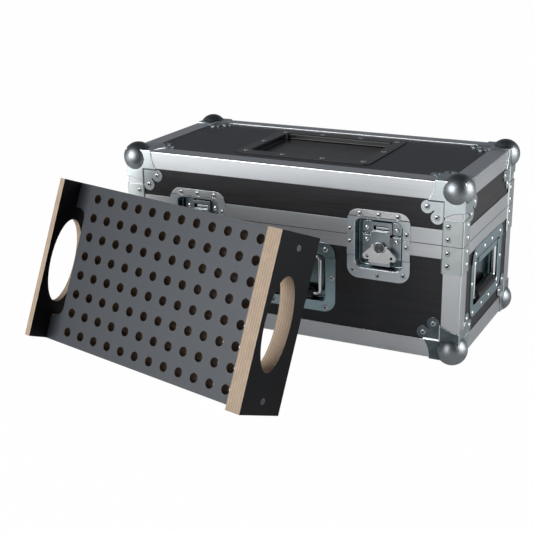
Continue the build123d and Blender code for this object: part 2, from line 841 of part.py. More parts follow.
def tray_screws(recess):
    """The screws of both ends; the left ones mirror the right ones."""
    left = tray_end_screws(tray_left_reach + tray_left_board, recess)
    right = tray_end_screws(tray_right_reach + 2 * tray_right_board, recess)
    return right + [mirror(screw, about=Plane.YZ) for screw in left]


def tray_end(start, board):
    """One board of the right end, with its hand hole, between start and start plus board."""
    middle = (tray_end_front - tray_end_back) / 2
    outline = Rectangle(tray_end_front + tray_end_back, tray_height)
    outline -= Pos(-hand_hole_back - middle, 0) * Ellipse(hand_hole_width / 2, hand_hole_height / 2)
    frame = Plane(origin=(start, 0, middle), x_dir=(0, 0, 1), z_dir=(-1, 0, 0))
    return frame.location * Pos(0, 0, -board) * extrude(outline, board)


def base_nodes():
    floor, front, back, ends = base_panels()
    low_rail = parting_height - base_rail_height
    dish = latch_half(-case_length, -lid_seam / 2)
    leaves = at_hinges(base_hinge_leaf())
    pins = at_hinges(hinge_pin())
    corner = Pos(-half_length, -half_width, 0) * ball_corner()
    heads = [Pos(-half_length, -half_width, 0) * head for head in corner_rivets()]
    heads += brace_rivets([parting_height - drop for drop in base_brace_rivet_drops])
    heads = across(heads, Plane.YZ, Plane.XZ)
    for side in (-1, 1):
        heads += [place_latch(head, side) for head in latch_base_rivets()]
    for frame in (FRONT, LEFT, RIGHT):
        heads += [on(frame, 0, handle_height, head) for head in handle_rivets()]
    heads += hinge_rivets(-hinge_rivet_offset)
    board, battens = divider()
    brace_top = parting_height - brace_seam / 2
    return {
        "base_floor_panel": [floor],
        "base_front_panel": [front],
        "base_back_panel": [back],
        "base_end_panels": ends,
        "base_long_angles": across([long_angle()], Plane.XZ),
        "base_end_angles": across([end_angle()], Plane.YZ),
        "base_upright_angles": across([upright_angle(angle_leg, low_rail)], Plane.YZ, Plane.XZ),
        "base_closing_rails": mitred_rails(base_rail_band()),
        "base_ball_corners": across([corner], Plane.YZ, Plane.XZ),
        "base_corner_braces": across([brace(brace_top - base_brace_height, brace_top)], Plane.YZ, Plane.XZ),
        "base_rivets": heads,
        "latch_left_dish": [place_latch(dish, -1)],
        "latch_right_dish": [place_latch(dish, 1)],
        "latch_left_cam_plate": [place_latch(cam_plate(), -1)],
        "latch_right_cam_plate": [place_latch(cam_plate(), 1)],
        "hinge_left_base_leaf": [leaves[0]],
        "hinge_right_base_leaf": [leaves[1]],
        "hinge_left_pin": [pins[0]],
        "hinge_right_pin": [pins[1]],
        "accessory_divider": [board],
        "divider_battens": battens,
    }


def lid_nodes():
    top, front, back, ends = lid_panels()
    high_rail = parting_height + lid_rail_height
    dish = latch_half(lid_seam / 2, case_length)
    leaves = at_hinges(lid_hinge_leaf())
    corner = mirror(Pos(-half_length, -half_width, 0) * ball_corner(), about=MIDDLE)
    heads = [mirror(Pos(-half_length, -half_width, 0) * head, about=MIDDLE) for head in corner_rivets()]
    heads += brace_rivets([parting_height + rise for rise in lid_brace_rivet_rises])
    heads = across(heads, Plane.YZ, Plane.XZ)
    for side in (-1, 1):
        heads += [place_latch(head, side) for head in latch_lid_rivets()]
    heads += hinge_rivets(hinge_rivet_offset)
    brace_bottom = parting_height + brace_seam / 2
    upright = upright_angle(high_rail, case_height - angle_leg)
    braces = across([brace(brace_bottom, brace_bottom + lid_brace_height)], Plane.YZ, Plane.XZ)
    return {
        "lid_top_panel": [top],
        "lid_front_panel": [front],
        "lid_back_panel": [back],
        "lid_end_panels": ends,
        "lid_long_angles": [mirror(angle, about=MIDDLE) for angle in across([long_angle()], Plane.XZ)],
        "lid_end_angles": [mirror(angle, about=MIDDLE) for angle in across([end_angle()], Plane.YZ)],
        "lid_upright_angles": across([upright], Plane.YZ, Plane.XZ),
        "lid_closing_rails": mitred_rails(lid_rail_band()),
        "lid_ball_corners": across([corner], Plane.YZ, Plane.XZ),
        "lid_corner_braces": braces,
        "lid_rivets": heads + label_rivets(),
        "label_dish": [on(TOP, 0, label_offset, label_dish())],
        "latch_left_keeper_dish": [place_latch(dish, -1)],
        "latch_right_keeper_dish": [place_latch(dish, 1)],
        "latch_left_strike": [place_latch(strike_plate(), -1)],
        "latch_right_strike": [place_latch(strike_plate(), 1)],
        "hinge_left_lid_leaf": [leaves[0]],
        "hinge_right_lid_leaf": [leaves[1]],
    }


def latch_nodes():
    nodes = {}
    for name, side in (("left", -1), ("right", 1)):
        nodes[f"latch_{name}_spindle"] = [place_latch(latch_spindle(), side, spindle_drop)]
        nodes[f"latch_{name}_wing"] = [place_latch(latch_wing(), side, spindle_drop)]
        nodes[f"latch_{name}_hook"] = [place_latch(latch_hook(), side)]
    return nodes


def handle_nodes():
    nodes = {}
    brackets, springs = [], []
    dish, bail, grip, bracket = handle_dish(), handle_bail(), handle_grip(), handle_pivot_plate()
    for name, frame in (("front", FRONT), ("left", LEFT), ("right", RIGHT)):
        nodes[f"{name}_handle_dish"] = [on(frame, 0, handle_height, dish)]
        nodes[f"{name}_handle_bail"] = [on(frame, 0, handle_height, bail)]
        nodes[f"{name}_handle_grip"] = [on(frame, 0, handle_height, grip)]
        brackets.append(on(frame, 0, handle_height, bracket))
        springs += [on(frame, 0, handle_height, spring) for spring in handle_springs()]
    nodes["handle_pivot_plates"] = brackets
    nodes["handle_springs"] = springs
    return nodes


def tray_nodes():
    place = tray_frame().location
    holes = tray_screws(recess=False)
    right = [tray_end(tray_right_reach + layer * tray_right_board, tray_right_board) for layer in (0, 1)]
    left = mirror(tray_end(tray_left_reach, tray_left_board), about=Plane.YZ)
    return {
        "tray_panel": [place * (tray_panel() - holes)],
        "tray_end_left": [place * (left - holes)],
        "tray_end_right": [place * (board - holes) for board in right],
        "tray_screws": [place * screw for screw in tray_screws(recess=True)],
    }


# The part's origin lies on the underside of the floor board
os.makedirs("parts", exist_ok=True)
nodes = base_nodes() | lid_nodes() | latch_nodes() | handle_nodes() | tray_nodes()
for name, shapes in nodes.items():
    solids = [Pos(0, 0, -angle_wall) * solid for shape in shapes for solid in shape.solids()]
    export_step(Compound(solids), f"parts/{name}.step")
    print(name, len(solids))
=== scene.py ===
# %% [markdown]
# # A road case and its spigot tray
# The construction arrives as a measured model: every board, profile, plate and rivet is at its
# real size already. This script dresses it. Sheet metal gets the soft edges of a press, plywood
# gets its plies, and each finish gets the small variation that the real one has.

# %% Load the measured model
import json
from math import cos, radians, sin

import bpy
from mathutils import Matrix, Vector

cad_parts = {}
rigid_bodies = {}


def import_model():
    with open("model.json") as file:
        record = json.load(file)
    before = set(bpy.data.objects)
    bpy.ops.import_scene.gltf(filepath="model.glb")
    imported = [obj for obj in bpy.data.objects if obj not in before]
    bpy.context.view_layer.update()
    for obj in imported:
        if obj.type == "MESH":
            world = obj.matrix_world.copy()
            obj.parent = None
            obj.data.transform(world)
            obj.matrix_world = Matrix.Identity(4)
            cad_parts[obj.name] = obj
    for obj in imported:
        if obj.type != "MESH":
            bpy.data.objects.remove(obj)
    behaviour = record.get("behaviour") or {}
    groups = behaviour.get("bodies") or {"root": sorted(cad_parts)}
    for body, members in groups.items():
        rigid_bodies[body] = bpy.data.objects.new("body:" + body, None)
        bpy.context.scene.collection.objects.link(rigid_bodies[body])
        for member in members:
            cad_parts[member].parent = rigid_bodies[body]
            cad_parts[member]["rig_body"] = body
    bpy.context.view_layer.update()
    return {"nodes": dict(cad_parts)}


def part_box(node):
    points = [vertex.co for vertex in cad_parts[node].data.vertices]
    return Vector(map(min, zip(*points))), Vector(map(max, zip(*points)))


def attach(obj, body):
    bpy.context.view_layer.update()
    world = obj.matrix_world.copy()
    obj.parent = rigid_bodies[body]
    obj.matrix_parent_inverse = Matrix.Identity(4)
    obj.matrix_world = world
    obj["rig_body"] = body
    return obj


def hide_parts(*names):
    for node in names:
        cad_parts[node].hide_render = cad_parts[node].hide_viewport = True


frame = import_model()
MM = 0.001

# %% [markdown]
# Every fitting sits on one of the case's faces. A face frame holds x to the right, y up and z
# out of the face, with z = 0 on the outside of the aluminium, so that a part can be modelled
# flat on the floor of the world and then put in its place with one matrix. On the upright faces
# y = 0 is the parting line between base and lid.

# %% The faces of the case
low_angle, high_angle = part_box("base_long_angles")
half_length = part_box("base_closing_rails")[1].x
half_width = high_angle.y
lid_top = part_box("lid_long_angles")[1].z
parting = (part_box("base_closing_rails")[1].z - 2.2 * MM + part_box("lid_closing_rails")[0].z) / 2


def face_frame(origin, right, out):
    """The matrix that carries a part from the world's floor to a face."""
    right, out = Vector(right).normalized(), Vector(out).normalized()
    up = out.cross(right)
    turn = Matrix((right, up, out)).transposed().to_4x4()
    return Matrix.Translation(origin) @ turn


FRONT = face_frame((0, -half_width, parting), (1, 0, 0), (0, -1, 0))
LEFT = face_frame((-half_length, 0, parting), (0, -1, 0), (-1, 0, 0))
RIGHT = face_frame((half_length, 0, parting), (0, 1, 0), (1, 0, 0))
TOP = face_frame((0, 0, lid_top), (1, 0, 0), (0, 0, 1))
print("case", round(2 * half_length, 4), "x", round(2 * half_width, 4), "x", round(lid_top, 4))

# %% [markdown]
# A finish is a small graph of nodes. Written out by hand, a graph is hard to read, so a class
# wraps a socket: sums on it add the Math nodes, and one method adds any other node.


# %% Sums that become nodes
class Value:
    """A node's output that can be used in ordinary sums."""

    def __init__(self, finish, socket):
        self.finish = finish
        self.socket = socket

    def maths(self, operation, first, second):
        return self.finish.node("ShaderNodeMath", {"operation": operation}, {0: first, 1: second})

    def size(self):
        return self.maths("ABSOLUTE", self, 0.0)

    def __add__(self, other):
        return self.maths("ADD", self, other)

    def __sub__(self, other):
        return self.maths("SUBTRACT", self, other)

    def __rsub__(self, other):
        return self.maths("SUBTRACT", other, self)

    def __mul__(self, other):
        return self.maths("MULTIPLY", self, other)

    def __truediv__(self, other):
        return self.maths("DIVIDE", self, other)

    __radd__ = __add__
    __rmul__ = __mul__


class Finish:
    """A material and its nodes."""

    def __init__(self, name):
        self.material = bpy.data.materials.new(name)
        self.material.use_nodes = True
        self.tree = self.material.node_tree
        self.tree.nodes.clear()
        self.place = self.node("ShaderNodeTexCoord", {}, {}, 3)

    def node(self, kind, settings, sockets, output=0):
        """Adds a node, its settings first and then its sockets' values or links."""
        made = self.tree.nodes.new(kind)
        for key, value in settings.items():
            if key == "stops":
                ramp = made.color_ramp.elements
                while len(ramp) < len(value):
                    ramp.new(0.5)
                for stop, (position, colour) in zip(ramp, value):
                    stop.position = position
                    stop.color = colour
            else:
                setattr(made, key, value)
        for key, value in sockets.items():
            if isinstance(value, Value):
                self.tree.links.new(value.socket, made.inputs[key])
            else:
                made.inputs[key].default_value = value
        return Value(self, made.outputs[output])

    def noise(self, scale, detail=3.0, roughness=0.55):
        """Noise on the object's own coordinates, with its own scale on each axis, per metre."""
        spot = self.node("ShaderNodeMapping", {}, {"Vector": self.place, "Scale": scale})
        sockets = {"Vector": spot, "Scale": 1.0, "Detail": detail, "Roughness": roughness}
        return self.node("ShaderNodeTexNoise", {}, sockets)

    def even_noise(self, scale, detail=3.0, roughness=0.55):
        """Noise with one scale on all axes."""
        return self.noise((scale, scale, scale), detail, roughness)

    def ramp(self, value, stops):
        """A value turned into greys or colours."""
        return self.node("ShaderNodeValToRGB", {"stops": stops}, {0: value})

    def grey(self, value, low, high, dark=0.0, light=1.0):
        """A value stretched between two limits."""
        limits = {0: value, 1: low, 2: high, 3: dark, 4: light}
        return self.node("ShaderNodeMapRange", {"clamp": True}, limits)

    def mix(self, share, first, second):
        """Two colours mixed."""
        return self.node("ShaderNodeMix", {"data_type": "RGBA"}, {0: share, 6: first, 7: second}, 2)

    def along(self, direction):
        """How far a point is along a direction, in metres."""
        product = {0: self.place, 1: tuple(direction)}
        return self.node("ShaderNodeVectorMath", {"operation": "DOT_PRODUCT"}, product, 1)

    def bump(self, height, depth, strength=1.0):
        """A normal from a height, where a height of 1 is depth metres."""
        sockets = {"Height": height, "Distance": depth, "Strength": strength}
        return self.node("ShaderNodeBump", {}, sockets)

    def rays(self, kind):
        """1 for rays of one kind and 0 for the others."""
        made = self.tree.nodes.new("ShaderNodeLightPath")
        return Value(self, made.outputs[kind])

    def surface(self, sockets):
        """The material, with a shader that has these sockets."""
        self.show(self.node("ShaderNodeBsdfPrincipled", {}, sockets))
        return self.material

    def show(self, shader):
        """Joins a shader to the material's output."""
        out = self.tree.nodes.new("ShaderNodeOutputMaterial")
        self.tree.links.new(shader.socket, out.inputs["Surface"])


def colour(red, green, blue):
    return (red, green, blue, 1.0)


# %% [markdown]
# Casemaker's aluminium is extruded and then anodised. The die leaves fine lines along the
# length, so the noise is stretched that way, and there is one finish for each direction.


# %% Aluminium
def aluminium(name, scale):
    made = Finish(name)
    lines = made.noise(scale, 4.0, 0.6)
    cloud = made.even_noise(9.0, 2.0)
    shade = made.grey(lines, 0.3, 0.7)
    tint = made.mix(shade, colour(0.61, 0.635, 0.66), colour(0.72, 0.745, 0.77))
    rough = made.grey(lines, 0.3, 0.7, 0.30, 0.40) + cloud * 0.05
    return made.surface(
        {
            "Base Color": tint,
            "Metallic": 0.86,
            "Roughness": rough,
            "Normal": made.bump(lines, 0.00008, 0.5),
        }
    )


STRETCH, FINE = 1.5, 900.0
aluminium_x = aluminium("aluminium_along_x", (STRETCH, FINE, FINE))
aluminium_y = aluminium("aluminium_along_y", (FINE, STRETCH, FINE))
aluminium_z = aluminium("aluminium_upright", (FINE, FINE, STRETCH))


# %% [markdown]
# The fittings are pressed from steel and zinc plated. Plating is never even: it clouds softly,
# goes a little blue or green, and its roughness drifts with the rolling marks of the sheet.


# %% Plated and turned steel
# Black for the painted shade in the crease where a ball's dome meets its plates.
CREASE_SHADE_BLACK = colour(0.012, 0.013, 0.014)


def plated(name, dark, light, rough, metallic=1.0, crease=None):
    """Clouded metal between two colours; a crease mask, if there is one, paints shade black where it
    is 0.
    """
    made = Finish(name)
    cloud = made.even_noise(45.0, 4.0, 0.6)
    speck = made.even_noise(1400.0, 2.0)
    tint = made.mix(made.grey(cloud, 0.3, 0.7), dark, light)
    if crease:
        tint = made.mix(crease(made), CREASE_SHADE_BLACK, tint)
    return made.surface(
        {
            "Base Color": tint,
            "Metallic": metallic,
            "Roughness": made.grey(cloud, 0.25, 0.75, rough - 0.02, rough + 0.03) + speck * 0.02,
            "Normal": made.bump(speck, 0.00001, 0.3),
        }
    )


zinc = plated("zinc_plate", colour(0.42, 0.50, 0.53), colour(0.50, 0.58, 0.61), 0.30)
# Painted light: a lighter zinc for the lid corners' plates that look forward or back.
painted_light_lid_zinc = plated("painted_light_lid_zinc", colour(0.62, 0.69, 0.71), colour(0.70, 0.77, 0.79), 0.32)
# Painted shade: a dark zinc for the base corners' plates that look forward or back, and for bends that
# look down.
painted_shade_zinc = plated("painted_shade_zinc", colour(0.09, 0.12, 0.14), colour(0.16, 0.20, 0.22), 0.30)
# Painted light: a lighter zinc for the strip above a latch dish's upper step.
painted_light_strip_zinc = plated("painted_light_strip_zinc", colour(0.90, 0.94, 0.96), colour(0.96, 0.98, 0.99), 0.34)
passivated = plated("passivated_zinc", colour(0.52, 0.57, 0.57), colour(0.60, 0.65, 0.64), 0.34)
# Painted highlight: a bright zinc for rolled and eased edges, the hub's rim and ring, and bends that
# look up.
painted_highlight_zinc = plated("painted_highlight_edge", colour(0.84, 0.88, 0.90), colour(0.92, 0.94, 0.95), 0.24, 0.85)
dish_zinc = plated("dish_zinc", colour(0.64, 0.71, 0.75), colour(0.70, 0.77, 0.81), 0.38)
strike_zinc = plated("strike_zinc", colour(0.42, 0.50, 0.55), colour(0.54, 0.62, 0.67), 0.32)
handle_zinc = plated("handle_zinc", colour(0.30, 0.42, 0.46), colour(0.37, 0.50, 0.54), 0.30)
PLATE_LEVEL = 1.5 * MM
CREASE_WIDTH = 0.9 * MM


def ball_crease_shade(made):
    """Painted shade mask: 0 where the dome meets its plates, 1 beyond, by how far a point stands out
    of the case.
    """
    apart = made.node("ShaderNodeSeparateXYZ", {}, {"Vector": made.place}).socket.node.outputs
    x, y, z = (Value(made, apart[axis]) for axis in range(3))
    total = 0.0
    for out in (x.size() - half_length, y.size() - half_width, z - lid_top, low_angle.z - z):
        beyond = out.maths("MAXIMUM", out, 0.0)
        total = beyond * beyond + total
    return made.grey(total.maths("SQRT", total, 0.0), PLATE_LEVEL, PLATE_LEVEL + CREASE_WIDTH)


BALL_DARK, BALL_LIGHT = colour(0.31, 0.34, 0.36), colour(0.37, 0.40, 0.42)
# The dome is painted black along its crease with the plates: painted shade.
ball_steel = plated("ball_steel", BALL_DARK, BALL_LIGHT, 0.40, crease=ball_crease_shade)
# Painted shade: a dark zinc inside the wells of the dishes.
painted_shade_well_zinc = plated("painted_shade_well_zinc", colour(0.12, 0.17, 0.19), colour(0.20, 0.27, 0.29), 0.22)
copper = plated("pin_end", colour(0.50, 0.40, 0.36), colour(0.62, 0.52, 0.46), 0.3)
bright_steel = plated("polished_steel", colour(0.86, 0.87, 0.88), colour(0.93, 0.94, 0.95), 0.18, 0.9)
wing_plate = plated("polished_wing", colour(0.98, 0.99, 0.99), colour(1.0, 1.0, 1.0), 0.42, 0.25)
rivet_steel = plated("rivet_steel", colour(0.54, 0.55, 0.57), colour(0.66, 0.68, 0.70), 0.32)
dull_steel = plated("dull_rivet", colour(0.46, 0.47, 0.49), colour(0.54, 0.55, 0.57), 0.45, 0.5)
screw_steel = plated("screw_steel", colour(0.10, 0.10, 0.105), colour(0.15, 0.15, 0.155), 0.40, 0.9)
dark_steel = plated("dark_steel", colour(0.10, 0.11, 0.12), colour(0.16, 0.17, 0.19), 0.34, 0.8)
# Flat black for painted shade: in rivet holes, at the closing rails' seam, on the latch plates' right
# sides and in the wing's holes.
painted_shade_black = plated("painted_black_shade", colour(0.006, 0.006, 0.006), colour(0.012, 0.012, 0.012), 0.7, 0.0)


# %% [markdown]
# The boards are birch plywood under a black phenolic film. The film is pressed against a
# steel sheet and takes a fine grain in one direction. It is only slightly glossy.


# %% Film faced board
def film(name, scale, dark, light, rough=0.42, gloss=0.5):
    made = Finish(name)
    grain = made.noise(scale, 5.0, 0.62)
    speck = made.even_noise(900.0)
    share = made.grey(grain, 0.28, 0.72)
    return made.surface(
        {
            "Base Color": made.mix(share, dark, light),
            "Roughness": made.grey(grain, 0.3, 0.7, rough - 0.05, rough + 0.06),
            "Specular IOR Level": gloss,
            "Specular Tint": colour(0.88, 0.94, 1.0),
            "Normal": made.bump(grain * 0.6 + speck * 0.4, 0.00012, 0.5),
        }
    )


FILM_DARK, FILM_LIGHT = colour(0.010, 0.0088, 0.0092), colour(0.024, 0.0215, 0.0225)
ALONG_X, ALONG_Y = (14.0, 320.0, 320.0), (320.0, 14.0, 320.0)
film_x = film("film_along_x", ALONG_X, FILM_DARK, FILM_LIGHT)
film_y = film("film_along_y", ALONG_Y, FILM_DARK, FILM_LIGHT)
# The top board's film is painted lighter than the sides': painted light.
TOP_DARK, TOP_LIGHT = colour(0.036, 0.037, 0.042), colour(0.054, 0.055, 0.062)
painted_light_top_film = film("painted_light_film_on_top", ALONG_X, TOP_DARK, TOP_LIGHT)

# %% [markdown]
# Where a board is cut, its plies show as stripes: every other ply is end grain and looks
# darker, and a thin line of glue lies between them. Position across the board gives the stripe.


# %% Cut plywood
PLY = 2.2 * MM


def birch(name, across, grain_scale, dark, light):
    """Plies that lie across a direction."""
    made = Finish(name)
    steps = made.along(across) / PLY
    wobble = made.even_noise(60.0, 2.0) * 0.12
    phase = made.node("ShaderNodeMath", {"operation": "FRACT"}, {0: (steps + wobble) / 2.0})
    stripe = made.ramp(
        phase,
        [
            (0.0, colour(0.0, 0.0, 0.0)),
            (0.10, colour(0.9, 0.9, 0.9)),
            (0.42, colour(1.0, 1.0, 1.0)),
            (0.50, colour(0.25, 0.25, 0.25)),
            (0.58, colour(0.6, 0.6, 0.6)),
            (0.90, colour(0.66, 0.66, 0.66)),
        ],
    )
    grain = made.noise(grain_scale, 4.0, 0.65)
    share = made.grey(grain, 0.3, 0.7, 0.65, 1.0) * stripe
    return made.surface(
        {
            "Base Color": made.mix(share, dark, light),
            "Roughness": made.grey(grain, 0.3, 0.7, 0.55, 0.72),
            "Normal": made.bump(grain * 0.5 + stripe * 0.5, 0.0002, 0.5),
        }
    )


BIRCH_DARK, BIRCH_LIGHT = colour(0.20, 0.125, 0.075), colour(0.64, 0.50, 0.37)
birch_wall = birch("birch_edge", (0, 0, 1), (40.0, 40.0, 700.0), BIRCH_DARK, BIRCH_LIGHT)

# %% [markdown]
# Rubber is a deep black with a soft sheen. The label dish is powder coated: semi-gloss with
# the faint orange peel that powder leaves.

# %% Rubber and powder coat
rubber_finish = Finish("black_rubber")
rubber_speck = rubber_finish.even_noise(1200.0)
RUBBER_DARK, RUBBER_LIGHT = colour(0.010, 0.010, 0.011), colour(0.022, 0.022, 0.024)
rubber = rubber_finish.surface(
    {
        "Base Color": rubber_finish.mix(rubber_speck, RUBBER_DARK, RUBBER_LIGHT),
        "Roughness": rubber_finish.grey(rubber_speck, 0.3, 0.7, 0.34, 0.46),
        "Normal": rubber_finish.bump(rubber_speck, 0.00004, 0.5),
    }
)
coat_finish = Finish("black_powder_coat")
orange_peel = coat_finish.even_noise(420.0, 2.0)
COAT_DARK, COAT_LIGHT = colour(0.010, 0.010, 0.011), colour(0.018, 0.018, 0.020)
black_coat = coat_finish.surface(
    {
        "Base Color": coat_finish.mix(orange_peel, COAT_DARK, COAT_LIGHT),
        "Roughness": coat_finish.grey(orange_peel, 0.3, 0.7, 0.26, 0.34),
        "Normal": coat_finish.bump(orange_peel, 0.00005, 0.5),
    }
)

# %% [markdown]
# No real edge is razor sharp. A copy of each measured mesh is merged, its flat faces are
# dissolved into whole ones, and a bevel rounds its edges, which then catch the light.


# %% Helpers for modelling
def only(piece):
    """Selects one object and makes it active."""
    bpy.ops.object.select_all(action="DESELECT")
    piece.select_set(True)
    bpy.context.view_layer.objects.active = piece


def apply(piece, kind, settings):
    """Adds a modifier and applies it."""
    only(piece)
    modifier = piece.modifiers.new(kind.lower(), kind)
    for key, value in settings.items():
        setattr(modifier, key, value)
    bpy.ops.object.modifier_apply(modifier=modifier.name)


def merged_copy(node, name):
    """A CAD node's mesh as a new object with its flat faces whole."""
    piece = bpy.data.objects.new(name, frame["nodes"][node].data.copy())
    bpy.context.scene.collection.objects.link(piece)
    piece.data.materials.clear()
    only(piece)
    bpy.ops.mesh.customdata_custom_splitnormals_clear()
    bpy.ops.object.mode_set(mode="EDIT")
    bpy.ops.mesh.select_all(action="SELECT")
    bpy.ops.mesh.remove_doubles(threshold=0.002 * MM)
    bpy.ops.mesh.dissolve_limited(angle_limit=radians(0.4))
    bpy.ops.object.mode_set(mode="OBJECT")
    return piece


def smooth(piece, angle=32.0):
    """Smooth shading that keeps flat faces flat."""
    only(piece)
    bpy.ops.object.shade_smooth_by_angle(angle=radians(angle))
    apply(piece, "WEIGHTED_NORMAL", {"keep_sharp": True, "weight": 80})


def stand_for(piece, nodes):
    """The piece rides with the nodes' body and stands for them."""
    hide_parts(*nodes)
    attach(piece, frame["nodes"][nodes[0]]["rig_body"])


def bevelled(piece, width, segments, angle, finish=-1):
    """Rounds the edges that are sharper than an angle, in degrees; width is in mm."""
    settings = {"width": width * MM, "segments": segments, "material": finish}
    settings |= {"limit_method": "ANGLE", "angle_limit": radians(angle)}
    apply(piece, "BEVEL", settings)


def softened(node, width, finishes, choose=None, edge_finish=-1):
    """A copy of a node with rounded edges and its finish, in its node's place."""
    piece = merged_copy(node, node + "_soft")
    for finish in finishes:
        piece.data.materials.append(finish)
    if choose:
        for face in piece.data.polygons:
            face.material_index = choose(face.center, face.normal)
    bevelled(piece, width, 2, 30, edge_finish)
    smooth(piece)
    stand_for(piece, [node])
    return piece


def copy_of(model, name):
    """A linked copy of a model, with a mesh of its own."""
    piece = model.copy()
    piece.data = model.data.copy()
    piece.name = name
    bpy.context.scene.collection.objects.link(piece)
    return piece


def dress(nodes, finish):
    """Gives CAD nodes a finish and leaves their shape alone."""
    for node in nodes:
        mesh = frame["nodes"][node].data
        mesh.materials.clear()
        mesh.materials.append(finish)


# %% [markdown]
# Boards first. They are hidden behind the metal at their edges, so they keep their measured
# shape and only take the film.

# %% Boards of the case
long_boards = ["base_floor_panel", "base_front_panel", "base_back_panel"]
dress([*long_boards, "lid_front_panel", "lid_back_panel"], film_x)
dress(["base_end_panels", "lid_end_panels", "accessory_divider"], film_y)
# The lid's top takes the lighter film: painted light.
dress(["lid_top_panel"], painted_light_top_film)
dress(["divider_battens"], birch_wall)

# %% [markdown]
# The aluminium runs three ways. Long profiles get lines along x, end ones along y and
# uprights along z. The closing rails run both ways, so each face picks by where it lies. The
# angles' rounded edges get a lighter finish, a painted highlight, and the rails' faces that
# meet at the seam get flat black, painted shade.


# %% Aluminium profiles
# Painted highlight: a lighter aluminium for the rounded edges of the angles.
HIGHLIGHT_ALUMINIUM_DARK, HIGHLIGHT_ALUMINIUM_LIGHT = colour(0.80, 0.82, 0.84), colour(0.88, 0.90, 0.92)
painted_highlight_aluminium = plated("painted_highlight_aluminium", HIGHLIGHT_ALUMINIUM_DARK, HIGHLIGHT_ALUMINIUM_LIGHT, 0.22, 0.9)


def rail_direction(centre, normal):
    """0 on the long rails and 1 on the end rails, which meet on a mitre."""
    return 1 if half_length - abs(centre.x) < half_width - abs(centre.y) else 0


SEAM_REACH, SEAM_TILT = 0.7 * MM, 0.3
SQUARE = 0.97
for part in ("base", "lid"):
    for run, finish in (("long", aluminium_x), ("end", aluminium_y), ("upright", aluminium_z)):
        profile = softened(f"{part}_{run}_angles", 0.35, [finish, painted_highlight_aluminium])
        # Faces that look along no axis, the rounded edges, get the painted highlight.
        for face in profile.data.polygons:
            if max(abs(along) for along in face.normal) < SQUARE:
                face.material_index = 1
    rail_finishes = [aluminium_x, aluminium_y, painted_shade_black]
    rails = softened(f"{part}_closing_rails", 0.35, rail_finishes, rail_direction)
    # Rail faces at the seam get flat black: painted shade.
    for face in rails.data.polygons:
        if abs(face.center.z - parting) < SEAM_REACH and abs(face.normal.z) > SEAM_TILT:
            face.material_index = 2

# %% [markdown]
# A ball corner is one pressing: a dome of thicker, brushed steel and three plates that lap
# over the profiles. The dome's faces are those that lie on its sphere, and its crease with the
# plates is painted black, as shade. Rolled edges and bends that look up get a light finish, a
# painted highlight, and bends that look down a dark one, painted shade. Plates that look forward
# or back are painted dark on the base and light on the lid, as shade and light.

# %% Ball corners and braces
DOME_FINISH = 1
BALL_INSET, BALL_RADIUS = 14.3 * MM, 25.6 * MM
COLLAR = 0.12 * MM
TOUCH = 0.01 * MM


def levels_of(spot):
    """How far a spot lies inside the case's end, long and level faces."""
    rise = min(spot.z - low_angle.z, lid_top - spot.z)
    return (half_length - abs(spot.x), half_width - abs(spot.y), rise)


def on_ball(spot):
    """True on the dome and not on the plates."""
    height = low_angle.z + BALL_INSET if spot.z < parting else lid_top - BALL_INSET
    middle = Vector((half_length - BALL_INSET, half_width - BALL_INSET, height))
    reach = (Vector((abs(spot.x), abs(spot.y), spot.z)) - middle).length
    return BALL_RADIUS - COLLAR < reach < BALL_RADIUS + COLLAR


def rolled_edges(piece, width, level, edge_finish):
    """Rounds the edges that stand a level out of the case's faces, as a press leaves them."""
    only(piece)
    bpy.ops.object.mode_set(mode="EDIT")
    bpy.ops.mesh.select_all(action="DESELECT")
    bpy.ops.object.mode_set(mode="OBJECT")
    picked = 0
    for edge in piece.data.edges:
        ends = [piece.data.vertices[number].co for number in edge.vertices]
        pairs = zip(*(levels_of(end) for end in ends))
        flush = any(all(abs(inside + level) < TOUCH for inside in pair) for pair in pairs)
        edge.select = flush and not on_ball((ends[0] + ends[1]) / 2)
        picked += edge.select
    bpy.ops.object.mode_set(mode="EDIT")
    bpy.context.tool_settings.mesh_select_mode = (False, True, False)
    rounding = {"offset": width * MM, "segments": 5, "clamp_overlap": True}
    bpy.ops.mesh.bevel(affect="EDGES", material=edge_finish, **rounding)
    bpy.context.tool_settings.mesh_select_mode = (True, False, False)
    bpy.ops.object.mode_set(mode="OBJECT")
    print(piece.name, "rolled edges:", picked)


STEP_PLACE, STEP_SLOPE, STEP_NEAR = 31.5 * MM, 2.0 * MM, 0.05 * MM


def slope_steps(piece):
    """Leans the walls where a plate steps down from the profile to the board, as a press does."""
    for vertex in piece.data.vertices:
        x, y, z = vertex.co
        inward = (-1 if x > 0 else 1, -1 if y > 0 else 1, -1 if z > parting else 1)
        levels = levels_of(vertex.co)
        for axis in range(3):
            on_board = any(abs(levels[other]) < STEP_NEAR for other in range(3) if other != axis)
            if on_board and abs(levels[axis] - STEP_PLACE) < STEP_NEAR:
                vertex.co[axis] += inward[axis] * STEP_SLOPE


BEND_TILT, BEND_UPRIGHT = 0.25, 0.96


def shaded_bends(piece, lit, shaded, dome=-1):
    """Paints light on the bends that look up and shade on those that look down, with two finishes."""
    for face in piece.data.polygons:
        if face.material_index != dome and BEND_TILT < abs(face.normal.z) < BEND_UPRIGHT:
            face.material_index = lit if face.normal.z > 0 else shaded


